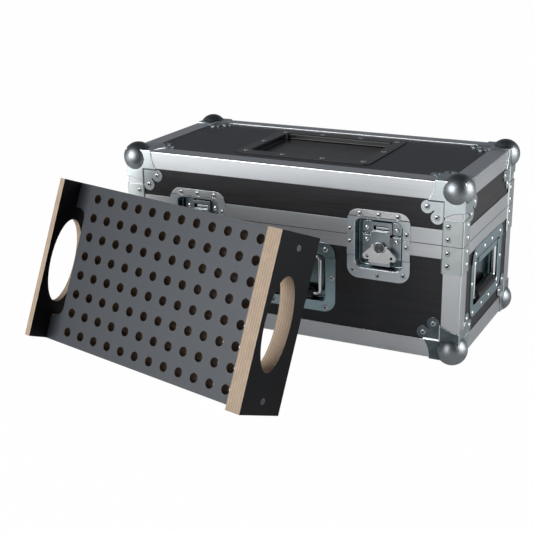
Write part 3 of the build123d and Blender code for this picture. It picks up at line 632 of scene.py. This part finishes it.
def pressed_fitting(node, width, finishes, choose=None):
    """A copy of a fitting that is pressed from 1.5 mm sheet, with rolled edges."""
    piece = merged_copy(node, node + "_pressing")
    slope_steps(piece)
    # Two finishes follow the fitting's own: a painted highlight and a painted shade.
    for finish in [*finishes, painted_highlight_zinc, painted_shade_zinc]:
        piece.data.materials.append(finish)
    for face in piece.data.polygons:
        face.material_index = choose(face.center, face.normal) if choose else 0
    lit = len(finishes)
    # The rolled edges take the painted highlight.
    rolled_edges(piece, width, PLATE_LEVEL, lit)
    bevelled(piece, 0.45, 2, 38)
    shaded_bends(piece, lit, lit + 1, dome=DOME_FINISH)
    smooth(piece, 50)
    stand_for(piece, [node])


LONG_FACING = 0.7


def corner_faces(centre, normal):
    """1 on the dome, 2 on plates that look forward or back and 0 on the others."""
    if on_ball(centre):
        return DOME_FINISH
    return 2 if abs(normal.y) > LONG_FACING else 0


# Plates that look forward or back are painted: in shade on the base, in light on the lid.
for part, long_side in (("base", painted_shade_zinc), ("lid", painted_light_lid_zinc)):
    pressed_fitting(f"{part}_ball_corners", 4.6, [zinc, ball_steel, long_side], corner_faces)
    pressed_fitting(f"{part}_corner_braces", 2.2, [passivated])

# %% [markdown]
# A dish is pressed from one sheet: a flat flange, a mouth with a soft bend, a well and a floor.
# Rounded rectangles are laid out first, as a press tool's steps would be, and bridged from the
# flange's edge inwards. A bevel bends the mouth and the floor's edge, and only then does the
# sheet get its thickness, so that both of its sides follow the bends.

# %% Rounded outlines and pressed sheets
CORNER_STEPS = 6
OUTLINE_COUNT = 4 * (CORNER_STEPS + 1)


def select_last(piece, count):
    """In edit mode, selects the vertices that were added last, and the edges between them."""
    bpy.ops.object.mode_set(mode="OBJECT")
    first = len(piece.data.vertices) - count
    for face in piece.data.polygons:
        face.select = False
    for edge in piece.data.edges:
        edge.select = min(edge.vertices) >= first
    for vertex in piece.data.vertices:
        vertex.select = vertex.index >= first
    bpy.ops.object.mode_set(mode="EDIT")


def select_where(piece, test):
    """In edit mode, selects the faces whose middle and normal pass the test."""
    bpy.ops.mesh.select_all(action="DESELECT")
    bpy.ops.object.mode_set(mode="OBJECT")
    for face in piece.data.polygons:
        face.select = test(face.center, face.normal)
    bpy.ops.object.mode_set(mode="EDIT")


def pressed(name, outlines, bend):
    """A sheet through rounded outlines, each (width, low, high, radius, level) in mm."""
    bpy.ops.object.select_all(action="DESELECT")
    bpy.context.tool_settings.mesh_select_mode = (True, False, False)
    for place, (width, low, high, radius, level) in enumerate(outlines):
        middle = Vector((0, (low + high) / 2, level)) * MM
        if place:
            bpy.ops.mesh.select_all(action="DESELECT")
        bpy.ops.mesh.primitive_plane_add(size=MM, location=middle)
        if not place:
            piece = bpy.context.object
            piece.name = name
            bpy.ops.object.mode_set(mode="EDIT")
        bpy.ops.transform.resize(value=(width, high - low, 1), center_override=middle)
        bpy.ops.mesh.bevel(offset=radius * MM, segments=CORNER_STEPS, affect="VERTICES")
        bpy.ops.mesh.delete(type="ONLY_FACE")
        if place:
            select_last(piece, 2 * OUTLINE_COUNT)
            bpy.ops.mesh.bridge_edge_loops()
    select_last(piece, OUTLINE_COUNT)
    bpy.ops.mesh.edge_face_add()
    bpy.ops.mesh.select_all(action="SELECT")
    bpy.ops.mesh.normals_make_consistent(inside=False)
    bpy.ops.object.mode_set(mode="OBJECT")
    bpy.ops.object.transform_apply(location=True, rotation=True, scale=True)
    deepest = min(piece.data.polygons, key=lambda face: face.center.z)
    if deepest.normal.z < 0:
        bpy.ops.object.mode_set(mode="EDIT")
        bpy.ops.mesh.flip_normals()
        bpy.ops.object.mode_set(mode="OBJECT")
    bevelled(piece, bend, 4, 40)
    return piece


def cut(piece, height, keep=None):
    """Cuts a sheet along a level line; keep says which side stays, above or below."""
    only(piece)
    bpy.ops.object.mode_set(mode="EDIT")
    bpy.ops.mesh.select_all(action="SELECT")
    bpy.ops.mesh.bisect(
        plane_co=(0, height * MM, 0),
        plane_no=(0, 1, 0),
        clear_inner=keep == "above",
        clear_outer=keep == "below",
    )
    bpy.ops.object.mode_set(mode="OBJECT")


NEAR_LINE = 0.01


def cranked(piece, start, end, drop, lowest):
    """Steps the flange down between two lines, from start to end, and all that lies beyond end."""
    for line in (start, end):
        cut(piece, line)
    away = 1 if end > start else -1
    for vertex in piece.data.vertices:
        if (vertex.co.y / MM - end) * away > -NEAR_LINE and vertex.co.z > lowest * MM:
            vertex.co.z -= drop * MM


def into_place(piece, face, x, y):
    """Carries a piece from the world's floor to its place on a face of the case."""
    piece.data.transform(face @ Matrix.Translation((x, y, 0)))


WELL_TOP = -1.5 * MM


def sheet_metal(piece, thickness, finish, well=None):
    """Gives a pressed sheet its thickness, eased edges and finish, and a darker one inside its well as
    painted shade.
    """
    apply(piece, "SOLIDIFY", {"thickness": thickness * MM, "offset": -1.0})
    bevelled(piece, 0.3, 2, 60)
    piece.data.materials.append(finish)
    if well:
        piece.data.materials.append(well)
        for face in piece.data.polygons:
            face.material_index = 1 if face.center.z < WELL_TOP else 0
    smooth(piece)


def add_bend_finishes(piece, lit, shaded):
    """Adds finishes after the piece's own: painted light for bends that look up, shade for those that
    look down.
    """
    lit_place = len(piece.data.materials)
    for finish in (lit, shaded):
        piece.data.materials.append(finish)
    shaded_bends(piece, lit_place, lit_place + 1)


# %% [markdown]
# The latch dish rides over the two closing rails, which stand 1.5 mm proud of the boards, and
# steps down to the boards above and below them. It is pressed whole and then parted along the
# closing line, so its halves always match. Its well is painted darker as shade, bends that look
# up are painted light and those that look down dark, and the front of the strip above the upper
# step gets a lighter finish: painted light.

# %% Latch dishes
SHEET, RAIL_STEP = 1.2, 1.5
FLAT = 0.9
LATCH_FLANGE = (107.0, -72.3, 43.7, 19.0)
LATCH_WELL = (80.0, -53.5, 28.0, 12.0)
LATCH_DEPTH = 18.0
LATCH_BEND = 2.2
UPPER_STEP, LOWER_STEP = (31.5, 33.0), (-33.5, -35.0)
HALF_SEAM = 0.2
PAINTED_LIGHT_STRIP = 4


def dish_of(name, flange, well, level, depth, bend):
    """A dish with its flange at a level and its floor at a depth."""
    return pressed(name, [(*flange, level), (*well, level), (*well, -depth)], bend)


latch_dish = dish_of("latch_dish", LATCH_FLANGE, LATCH_WELL, SHEET, LATCH_DEPTH, LATCH_BEND)
for step in (UPPER_STEP, LOWER_STEP):
    cranked(latch_dish, *step, RAIL_STEP, -1.0)
for side in ("left", "right"):
    latch_x = sum(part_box(f"latch_{side}_dish"), Vector()).x / 2
    for node, keep, line in (("dish", "below", -HALF_SEAM), ("keeper_dish", "above", HALF_SEAM)):
        half = copy_of(latch_dish, f"latch_{side}_{node}_pressing")
        cut(half, line, keep)
        # The well inside is painted darker: shade.
        sheet_metal(half, SHEET, dish_zinc, painted_shade_well_zinc)
        into_place(half, FRONT, latch_x, 0)
        # Bends that look up get the painted highlight, those that look down painted shade.
        add_bend_finishes(half, painted_highlight_zinc, painted_shade_zinc)
        # The front of the strip above the upper step gets a lighter finish: painted light.
        half.data.materials.append(painted_light_strip_zinc)
        for face in half.data.polygons:
            if face.center.z > parting + UPPER_STEP[0] * MM and face.normal.y < -FLAT:
                face.material_index = PAINTED_LIGHT_STRIP
        stand_for(half, [f"latch_{side}_{node}"])
bpy.data.objects.remove(latch_dish)
print("latch dishes at", round(latch_x, 4))

# %% [markdown]
# The handle dish is the same kind of pressing, with its step near the top, where the flange
# runs under the closing rail's edge.

# %% Handle dishes
HANDLE_FLANGE = (182.0, -60.0, 60.0, 21.0)
HANDLE_WELL = (145.0, -42.0, 39.0, 9.0)
HANDLE_DEPTH, HANDLE_BEND = 16.0, 2.0
HANDLE_STEP = (35.6, 34.0)

handle_dish = dish_of("handle_dish", HANDLE_FLANGE, HANDLE_WELL, SHEET, HANDLE_DEPTH, HANDLE_BEND)
cranked(handle_dish, *HANDLE_STEP, RAIL_STEP, -1.2)
handle_rise = sum(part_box("front_handle_dish"), Vector()).z / 2 - parting
for side, face in (("front", FRONT), ("left", LEFT), ("right", RIGHT)):
    dish = copy_of(handle_dish, f"{side}_handle_pressing")
    # The well is painted darker as shade; bends that look up are painted light, those that look down
    # painted shade.
    sheet_metal(dish, SHEET, handle_zinc, painted_shade_well_zinc)
    into_place(dish, face, 0, handle_rise)
    add_bend_finishes(dish, dish_zinc, painted_shade_zinc)
    stand_for(dish, [f"{side}_handle_dish"])
bpy.data.objects.remove(handle_dish)
print("handles", round(handle_rise, 4), "from the parting line")

# %% Label dish
LABEL_SHEET = 1.5
LABEL_FLANGE = (248.0, -98.0, 98.0, 10.0)
LABEL_WELL = (206.0, -74.0, 74.0, 8.0)
LABEL_DEPTH, LABEL_BEND = 10.0, 2.2
label = dish_of("label_pressing", LABEL_FLANGE, LABEL_WELL, 0, LABEL_DEPTH, LABEL_BEND)
sheet_metal(label, LABEL_SHEET, black_coat)
into_place(label, TOP, 0, sum(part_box("label_dish"), Vector()).y / 2)
stand_for(label, ["label_dish"])

# %% [markdown]
# A blind rivet's head is a low dome with the hole that its mandrel left. One is shaped from a
# short cylinder, whose top face is drawn up and in, ring by ring, and then sunk. Each rivet of
# the measured model shows where a copy goes and which way it looks.


# %% Rivet heads
def turned(name, sides, radius, rings, finishes, last_finish=0, hole=0.0):
    """A small turned piece: each ring is (radius, height) in mm, up from a flat seat."""
    bpy.ops.object.select_all(action="DESELECT")
    first = rings[0][1]
    bpy.ops.mesh.primitive_cylinder_add(
        vertices=sides, radius=radius * MM, depth=first * MM, location=(0, 0, first / 2 * MM)
    )
    piece = bpy.context.object
    piece.name = name
    for finish in finishes:
        piece.data.materials.append(finish)
    bpy.ops.object.transform_apply(location=True, rotation=True, scale=True)
    bpy.ops.object.mode_set(mode="EDIT")
    select_where(piece, lambda centre, normal: normal.z > FLAT)
    was = radius
    for place, (ring, height) in enumerate(rings):
        if place:
            rise = (height - rings[place - 1][1]) * MM
            bpy.ops.mesh.extrude_region_move(TRANSFORM_OT_translate={"value": (0, 0, rise)})
        ratio = ring / was
        bpy.ops.transform.resize(value=(ratio, ratio, 1), center_override=(0, 0, 0))
        was = ring
    bpy.ops.object.mode_set(mode="OBJECT")
    for face in piece.data.polygons:
        if face.select or face.center.xy.length < hole * MM:
            face.material_index = last_finish
    smooth(piece, 50)
    return piece


RIVET_RADIUS, RIVET_HOLE = 4.75, 1.82
RIVET_RINGS = [(4.6, 0.35), (4.05, 0.9), (3.1, 1.35), (2.2, 1.5), (1.85, 1.4), (1.7, 1.1), (1.65, 0.5)]
DOME_RADIUS, DOME_HEIGHT = 4.5, 2.0 * MM
DOME_RINGS = [(4.4, 0.6), (4.0, 1.3), (3.1, 1.95), (1.7, 2.38), (0.5, 2.5)]
LABEL_REACH = 0.13
# Each rivet's hole is painted flat black in its middle, as shade, and so is each label rivet's.
rivet = turned("rivet", 14, RIVET_RADIUS, RIVET_RINGS, [rivet_steel, painted_shade_black], 1, RIVET_HOLE)
dome = turned("dome", 16, DOME_RADIUS, DOME_RINGS, [bright_steel])
dull_finishes = [dull_steel, painted_shade_black]
label_rivet = turned("label_rivet", 14, RIVET_RADIUS, RIVET_RINGS, dull_finishes, 1, RIVET_HOLE)


def heads_of(node):
    """The seat, direction and height of every head in a rivet node."""
    loose = merged_copy(node, "loose")
    only(loose)
    bpy.ops.object.mode_set(mode="EDIT")
    bpy.ops.mesh.select_all(action="SELECT")
    bpy.ops.mesh.separate(type="LOOSE")
    bpy.ops.object.mode_set(mode="OBJECT")
    case_middle = Vector((0, 0, (low_angle.z + lid_top) / 2))
    heads = []
    for part in list(bpy.context.selected_objects):
        spots = [vertex.co for vertex in part.data.vertices]
        low = Vector([min(spot[axis] for spot in spots) for axis in range(3)])
        high = Vector([max(spot[axis] for spot in spots) for axis in range(3)])
        size = high - low
        axis = min(range(3), key=lambda number: size[number])
        out = Vector((0, 0, 0))
        out[axis] = 1 if (low + high)[axis] / 2 > case_middle[axis] else -1
        seat = (low + high) / 2 - out * size[axis] / 2
        heads.append((seat, out, size[axis]))
        bpy.data.objects.remove(part)
    return heads


for node in ("base_rivets", "lid_rivets"):
    copies = []
    for seat, out, height in heads_of(node):
        model = dome if height > DOME_HEIGHT else rivet
        if out.z > 0.5 and abs(seat.x) < LABEL_REACH:
            model = label_rivet
        head = copy_of(model, node + "_head")
        turn = out.to_track_quat("Z", "Y").to_matrix().to_4x4()
        head.data.transform(Matrix.Translation(seat) @ turn)
        copies.append(head)
    bpy.ops.object.select_all(action="DESELECT")
    for head in copies:
        head.select_set(True)
    bpy.context.view_layer.objects.active = copies[0]
    bpy.ops.object.join()
    copies[0].name = node + "_heads"
    stand_for(copies[0], [node])
    print(node, len(copies))
for model in (rivet, dome, label_rivet):
    bpy.data.objects.remove(model)

# %% [markdown]
# The latch's own pieces and the handle's wire keep their measured shape, with eased edges. Each
# latch also gets what is too small to be measured: a ring and two pin ends on its hub, a tongue
# behind the strike's slot and a stop bar under the wing.

# %% Fittings
HUB_MIDDLE = parting - 19.1 * MM
FACING_FRONT = FRONT.to_3x3().to_4x4()
PIN_RISE, PIN_RADIUS, PIN_RINGS = 4.6 * MM, 1.3, [(1.2, 0.1), (0.9, 0.3)]
HOLE_SIDE, HOLE_DROP, HOLE_REACH = 20.5 * MM, 15.5 * MM, 2.9 * MM
RING_RADIUS, RING_WIRE, RING_SINK = 8.9 * MM, 0.9 * MM, 0.2 * MM
RIM_FLAT, RIM_STEEP = 0.93, 0.25
BAR_EDGE = 0.9
TONGUE = Vector((-9.5, 9.2, -15.8)), Vector((12.6, 13.6, -13.8))
STOP_BAR = Vector((-18, -51.0, -17.0)), Vector((18, -45.8, -8.6))


def paint(piece, finish, test):
    """Gives one of its finishes to the faces whose middle and normal pass the test."""
    for face in piece.data.polygons:
        if test(face.center, face.normal):
            face.material_index = finish


def latch_bar(side, name, body, middle, low, high):
    """A rounded bar between two corners, in mm from where the parting line meets the latch."""
    bpy.ops.mesh.primitive_cube_add(size=MM, location=(0, 0, 0))
    bar = bpy.context.object
    bar.name = f"latch_{side}_{name}"
    bar.scale = high - low
    bpy.ops.object.transform_apply(location=True, rotation=True, scale=True)
    bar.data.transform(Matrix.Translation((low + high) * MM / 2))
    bar.data.materials.append(dish_zinc)
    apply(bar, "BEVEL", {"width": BAR_EDGE * MM, "segments": 3})
    into_place(bar, FRONT, middle, 0)
    smooth(bar, 60)
    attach(bar, frame["nodes"][f"latch_{side}_{body}"]["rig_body"])


for side in ("left", "right"):
    # The plates' eased edges get the painted highlight, and their sides that look to +x flat black,
    # painted shade.
    plate_finishes = [strike_zinc, painted_highlight_zinc, painted_shade_black]
    for node in ("cam_plate", "strike", "hook"):
        plate = softened(f"latch_{side}_{node}", 0.6, plate_finishes, edge_finish=1)
        paint(plate, 2, lambda centre, normal: normal.x > FLAT)
    hub = softened(f"latch_{side}_spindle", 0.4, [dark_steel, painted_highlight_zinc])
    # The hub's rounded rim gets the painted highlight.
    paint(hub, 1, lambda centre, normal: RIM_STEEP < -normal.y < RIM_FLAT)
    low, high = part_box(f"latch_{side}_spindle")
    middle_x = (low + high).x / 2

    def in_wing_hole(centre, normal):
        """True in the two small holes of the wing."""
        side_way = abs(centre.x - middle_x) - HOLE_SIDE
        return Vector((side_way, centre.z - HUB_MIDDLE + HOLE_DROP)).length < HOLE_REACH

    wing_finishes = [wing_plate, bright_steel, painted_shade_black]
    wing = softened(f"latch_{side}_wing", 0.6, wing_finishes, edge_finish=1)
    # The wing's two holes are painted flat black: shade.
    paint(wing, 2, in_wing_hole)
    bpy.ops.mesh.primitive_torus_add(
        major_radius=RING_RADIUS, minor_radius=RING_WIRE, major_segments=40, minor_segments=8
    )
    ring = bpy.context.object
    ring.name = f"latch_{side}_hub_ring"
    # The ring takes the painted highlight finish.
    ring.data.materials.append(painted_highlight_zinc)
    hub_place = Vector((middle_x, low.y, HUB_MIDDLE))
    ring.data.transform(Matrix.Translation(hub_place + Vector((0, RING_SINK, 0))) @ FACING_FRONT)
    smooth(ring, 60)
    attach(ring, frame["nodes"][f"latch_{side}_spindle"]["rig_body"])
    latch_bar(side, "tongue", "hook", middle_x, *TONGUE)
    latch_bar(side, "stop", "dish", middle_x, *STOP_BAR)
    for level, rise in (("low", -PIN_RISE), ("high", PIN_RISE)):
        pin = turned(f"latch_{side}_pin_{level}", 12, PIN_RADIUS, PIN_RINGS, [copper])
        pin.data.transform(Matrix.Translation(hub_place + Vector((0, 0, rise))) @ FACING_FRONT)
        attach(pin, frame["nodes"][f"latch_{side}_spindle"]["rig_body"])
    for leaf in ("base_leaf", "lid_leaf"):
        softened(f"hinge_{side}_{leaf}", 0.4, [zinc])
    dress([f"hinge_{side}_pin"], dark_steel)
for side in ("front", "left", "right"):
    dress([f"{side}_handle_bail"], bright_steel)
    dress([f"{side}_handle_grip"], rubber)
dress(["handle_pivot_plates", "handle_springs"], handle_zinc)
dress(["tray_screws"], screw_steel)

# %% [markdown]
# The tray is cut from plywood and its edges are eased with a router, which takes the film off
# them. Faces that look along the board's thickness keep the film, and all others are birch;
# the walls of the holes are birch painted darker, as shade.

# %% Tray
TURN, LEAN = radians(-14.35), radians(21.6)
tray_along = Vector((cos(TURN), sin(TURN), 0))
tray_back = Vector((-sin(TURN), cos(TURN), 0))
tray_up = Vector((0, 0, cos(LEAN))) + tray_back * sin(LEAN)
tray_out = tray_along.cross(tray_up)
TRAY_DARK, TRAY_LIGHT = colour(0.013, 0.015, 0.021), colour(0.020, 0.023, 0.030)
END_DARK, END_LIGHT = colour(0.004, 0.004, 0.005), colour(0.007, 0.007, 0.008)
# The walls of the holes take a darker birch: painted shade.
HOLE_SHADE_DARK, HOLE_SHADE_LIGHT = colour(0.03, 0.016, 0.008), colour(0.16, 0.095, 0.05)
EVEN = (60.0, 60.0, 60.0)
tray_film = film("tray_film", ALONG_Y, TRAY_DARK, TRAY_LIGHT, 0.46, 0.68)
end_film = film("end_film", EVEN, END_DARK, END_LIGHT, 0.45, 0.16)
end_birch = birch("birch_end", tray_along, EVEN, BIRCH_DARK, BIRCH_LIGHT)
panel_birch = birch("birch_panel", tray_out, EVEN, BIRCH_DARK, BIRCH_LIGHT)
painted_shade_hole_birch = birch("painted_shade_birch_hole", tray_out, EVEN, HOLE_SHADE_DARK, HOLE_SHADE_LIGHT)
HOLE_STEEP, STRAIGHT = 0.2, 0.9999


def hole_wall(normal):
    """True for the walls of the holes, and not for their chamfers or the board's own edges."""
    steep = abs(normal.dot(tray_out)) < HOLE_STEEP
    straight = max(abs(normal.dot(tray_along)), abs(normal.dot(tray_up))) > STRAIGHT
    return steep and not straight


def panel_faces(centre, normal):
    """0 on the film and 1 on the cut edges of the panel."""
    return 0 if abs(normal.dot(tray_out)) > FLAT else 1


def end_faces(centre, normal):
    """0 on the film and 1 on the cut edges of an end board."""
    return 0 if abs(normal.dot(tray_along)) > FLAT else 1


panel_finishes = [tray_film, panel_birch, painted_shade_hole_birch]
panel = softened("tray_panel", 1.3, panel_finishes, panel_faces, 1)
# Hole walls take the darker birch: painted shade.
for face in panel.data.polygons:
    if face.material_index == 1 and hole_wall(face.normal):
        face.material_index = 2
for side in ("left", "right"):
    softened(f"tray_end_{side}", 2.4, [end_film, end_birch], end_faces, 1)

# %% [markdown]
# The studio: a white floor that reaches past the picture, and two softboxes, one to the left of
# the camera and one to the right of the case, which show as the two lights on every ball. In
# reflections only parts of the floor glow: to the left in front of the case, and to its right.

# %% Floor
floor_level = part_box("base_ball_corners")[0].z
bpy.ops.object.select_all(action="DESELECT")
bpy.ops.mesh.primitive_plane_add(size=60.0, location=(0, 0, floor_level))
floor = bpy.context.object
floor.name = "floor"
paper = Finish("white_paper")
seen_by_camera, seen_in_gloss = paper.rays("Is Camera Ray"), paper.rays("Is Glossy Ray")
WHITE, PAPER = colour(1.0, 1.0, 1.0), colour(0.85, 0.85, 0.86)
lit = paper.node("ShaderNodeBsdfDiffuse", {}, {"Color": PAPER})
glow = paper.node("ShaderNodeEmission", {}, {"Color": WHITE, "Strength": 1.0})
SEEN_GLOW, LIT_GLOW, DARK_GLOW = 0.99, 0.86, 0.08
to_near_right = paper.along((0.934, -0.358, 0))
to_right, to_back = paper.along((1, 0, 0)), paper.along((0, 1, 0))
left_share = paper.grey(to_near_right, 0.25, 0.50, 1.0, 0.0)
front_share = paper.grey(to_back, -0.85, -0.22, 1.0, 0.15)
back_share = paper.grey(to_back, 0.35, 1.0, 1.0, 0.2)
right_share = paper.grey(to_right, 0.42, 0.75) * paper.grey(to_back, -0.6, -0.2)
lit_share = left_share * front_share + right_share * back_share
glowing = seen_by_camera * SEEN_GLOW + seen_in_gloss * (lit_share * LIT_GLOW + DARK_GLOW)
paper.show(paper.node("ShaderNodeMixShader", {}, {0: glowing, 1: lit, 2: glow}))
floor.data.materials.append(paper.material)


# %% Lamps
LAMP_TARGET = Vector((0.05, -0.1, 0.15))


def toward(azimuth):
    """A level direction; azimuth runs from the front to the right, in degrees."""
    return Vector((sin(radians(azimuth)), -cos(radians(azimuth)), 0))


def softbox(name, azimuth, height, distance, size, power):
    """A rectangular lamp that looks at the case."""
    place = LAMP_TARGET + toward(azimuth) * distance + Vector((0, 0, height))
    bpy.ops.object.light_add(type="AREA", location=place)
    lamp = bpy.context.object
    lamp.name = name
    lamp.data.shape = "RECTANGLE"
    lamp.data.size, lamp.data.size_y = size
    lamp.data.energy = power
    lamp.rotation_euler = (LAMP_TARGET - place).to_track_quat("-Z", "Y").to_euler()


RIGHT_AZIMUTH = 97
softbox("left_softbox", -33, 0.95, 3.0, (2.4, 2.2), 84)
softbox("right_softbox", RIGHT_AZIMUTH, 0.45, 1.8, (0.9, 1.2), 8)

# %% [markdown]
# A card behind the right softbox widens its reflection. Only glossy reflections see it, so it
# lights nothing.

# %% Card
CARD_DISTANCE, CARD_HEIGHT, CARD_SIZE, CARD_GLOW = 1.9, 0.45, (1.5, 1.9, 1), 3.0
card_place = toward(RIGHT_AZIMUTH) * CARD_DISTANCE + Vector((0, 0, CARD_HEIGHT))
bpy.ops.mesh.primitive_plane_add(size=1.0, location=card_place)
card = bpy.context.object
card.name = "card"
card.scale = CARD_SIZE
card.rotation_euler = (toward(RIGHT_AZIMUTH) * -1).to_track_quat("Z", "Y").to_euler()
reflector = Finish("reflector")
clear = reflector.node("ShaderNodeBsdfTransparent", {}, {})
bright = reflector.node("ShaderNodeEmission", {}, {"Color": WHITE, "Strength": CARD_GLOW})
in_gloss = reflector.rays("Is Glossy Ray")
reflector.show(reflector.node("ShaderNodeMixShader", {}, {0: in_gloss, 1: clear, 2: bright}))
card.data.materials.append(reflector.material)

# %% [markdown]
# The room is grey around the case, darker overhead and dim behind the camera.

# %% World
WALL, CEILING = colour(0.24, 0.25, 0.27), colour(0.035, 0.037, 0.042)
WALL_TOP, CEILING_START = 0.15, 0.75
FRONT_END, BACK_START, FRONT_LIGHT, BACK_LIGHT = -0.5, 0.2, 0.3, 1.0
world = bpy.data.worlds.new("studio")
bpy.context.scene.world = world
world.use_nodes = True
sky, join = world.node_tree.nodes, world.node_tree.links.new
spot = sky.new("ShaderNodeTexCoord")
split = sky.new("ShaderNodeSeparateXYZ")
shade = sky.new("ShaderNodeValToRGB")
stops = ((WALL_TOP, WALL), (CEILING_START, CEILING))
for stop, (position, tint) in zip(shade.color_ramp.elements, stops):
    stop.position, stop.color = position, tint
depth = sky.new("ShaderNodeMapRange")
depth.clamp = True
for number, value in enumerate((FRONT_END, BACK_START, FRONT_LIGHT, BACK_LIGHT), 1):
    depth.inputs[number].default_value = value
join(spot.outputs["Generated"], split.inputs[0])
join(split.outputs["Z"], shade.inputs[0])
join(split.outputs["Y"], depth.inputs[0])
join(shade.outputs[0], sky["Background"].inputs["Color"])
join(depth.outputs[0], sky["Background"].inputs["Strength"])

# %% [markdown]
# The camera stands where the photographer's did: to the right of the front and a little above
# the lid, with a short telephoto lens.

# %% Camera
CAMERA_PLACE = Vector((0.7643, -1.7594, 0.71706))
CAMERA_ANGLES = (71.4736, 0.6113, 26.1538)
SENSOR = 36.0
FOCAL_PIXELS, PICTURE = 1122.84, 533.0
CENTRE = (267.33, 265.3)
bpy.ops.object.camera_add(location=CAMERA_PLACE, rotation=[radians(a) for a in CAMERA_ANGLES])
camera = bpy.context.object
camera.name = "camera"
camera.data.sensor_width = SENSOR
camera.data.lens = FOCAL_PIXELS / PICTURE * SENSOR
camera.data.shift_x = (PICTURE / 2 - CENTRE[0]) / PICTURE
camera.data.shift_y = (CENTRE[1] - PICTURE / 2) / PICTURE
bpy.context.scene.camera = camera
bpy.context.scene.view_settings.view_transform = "Standard"
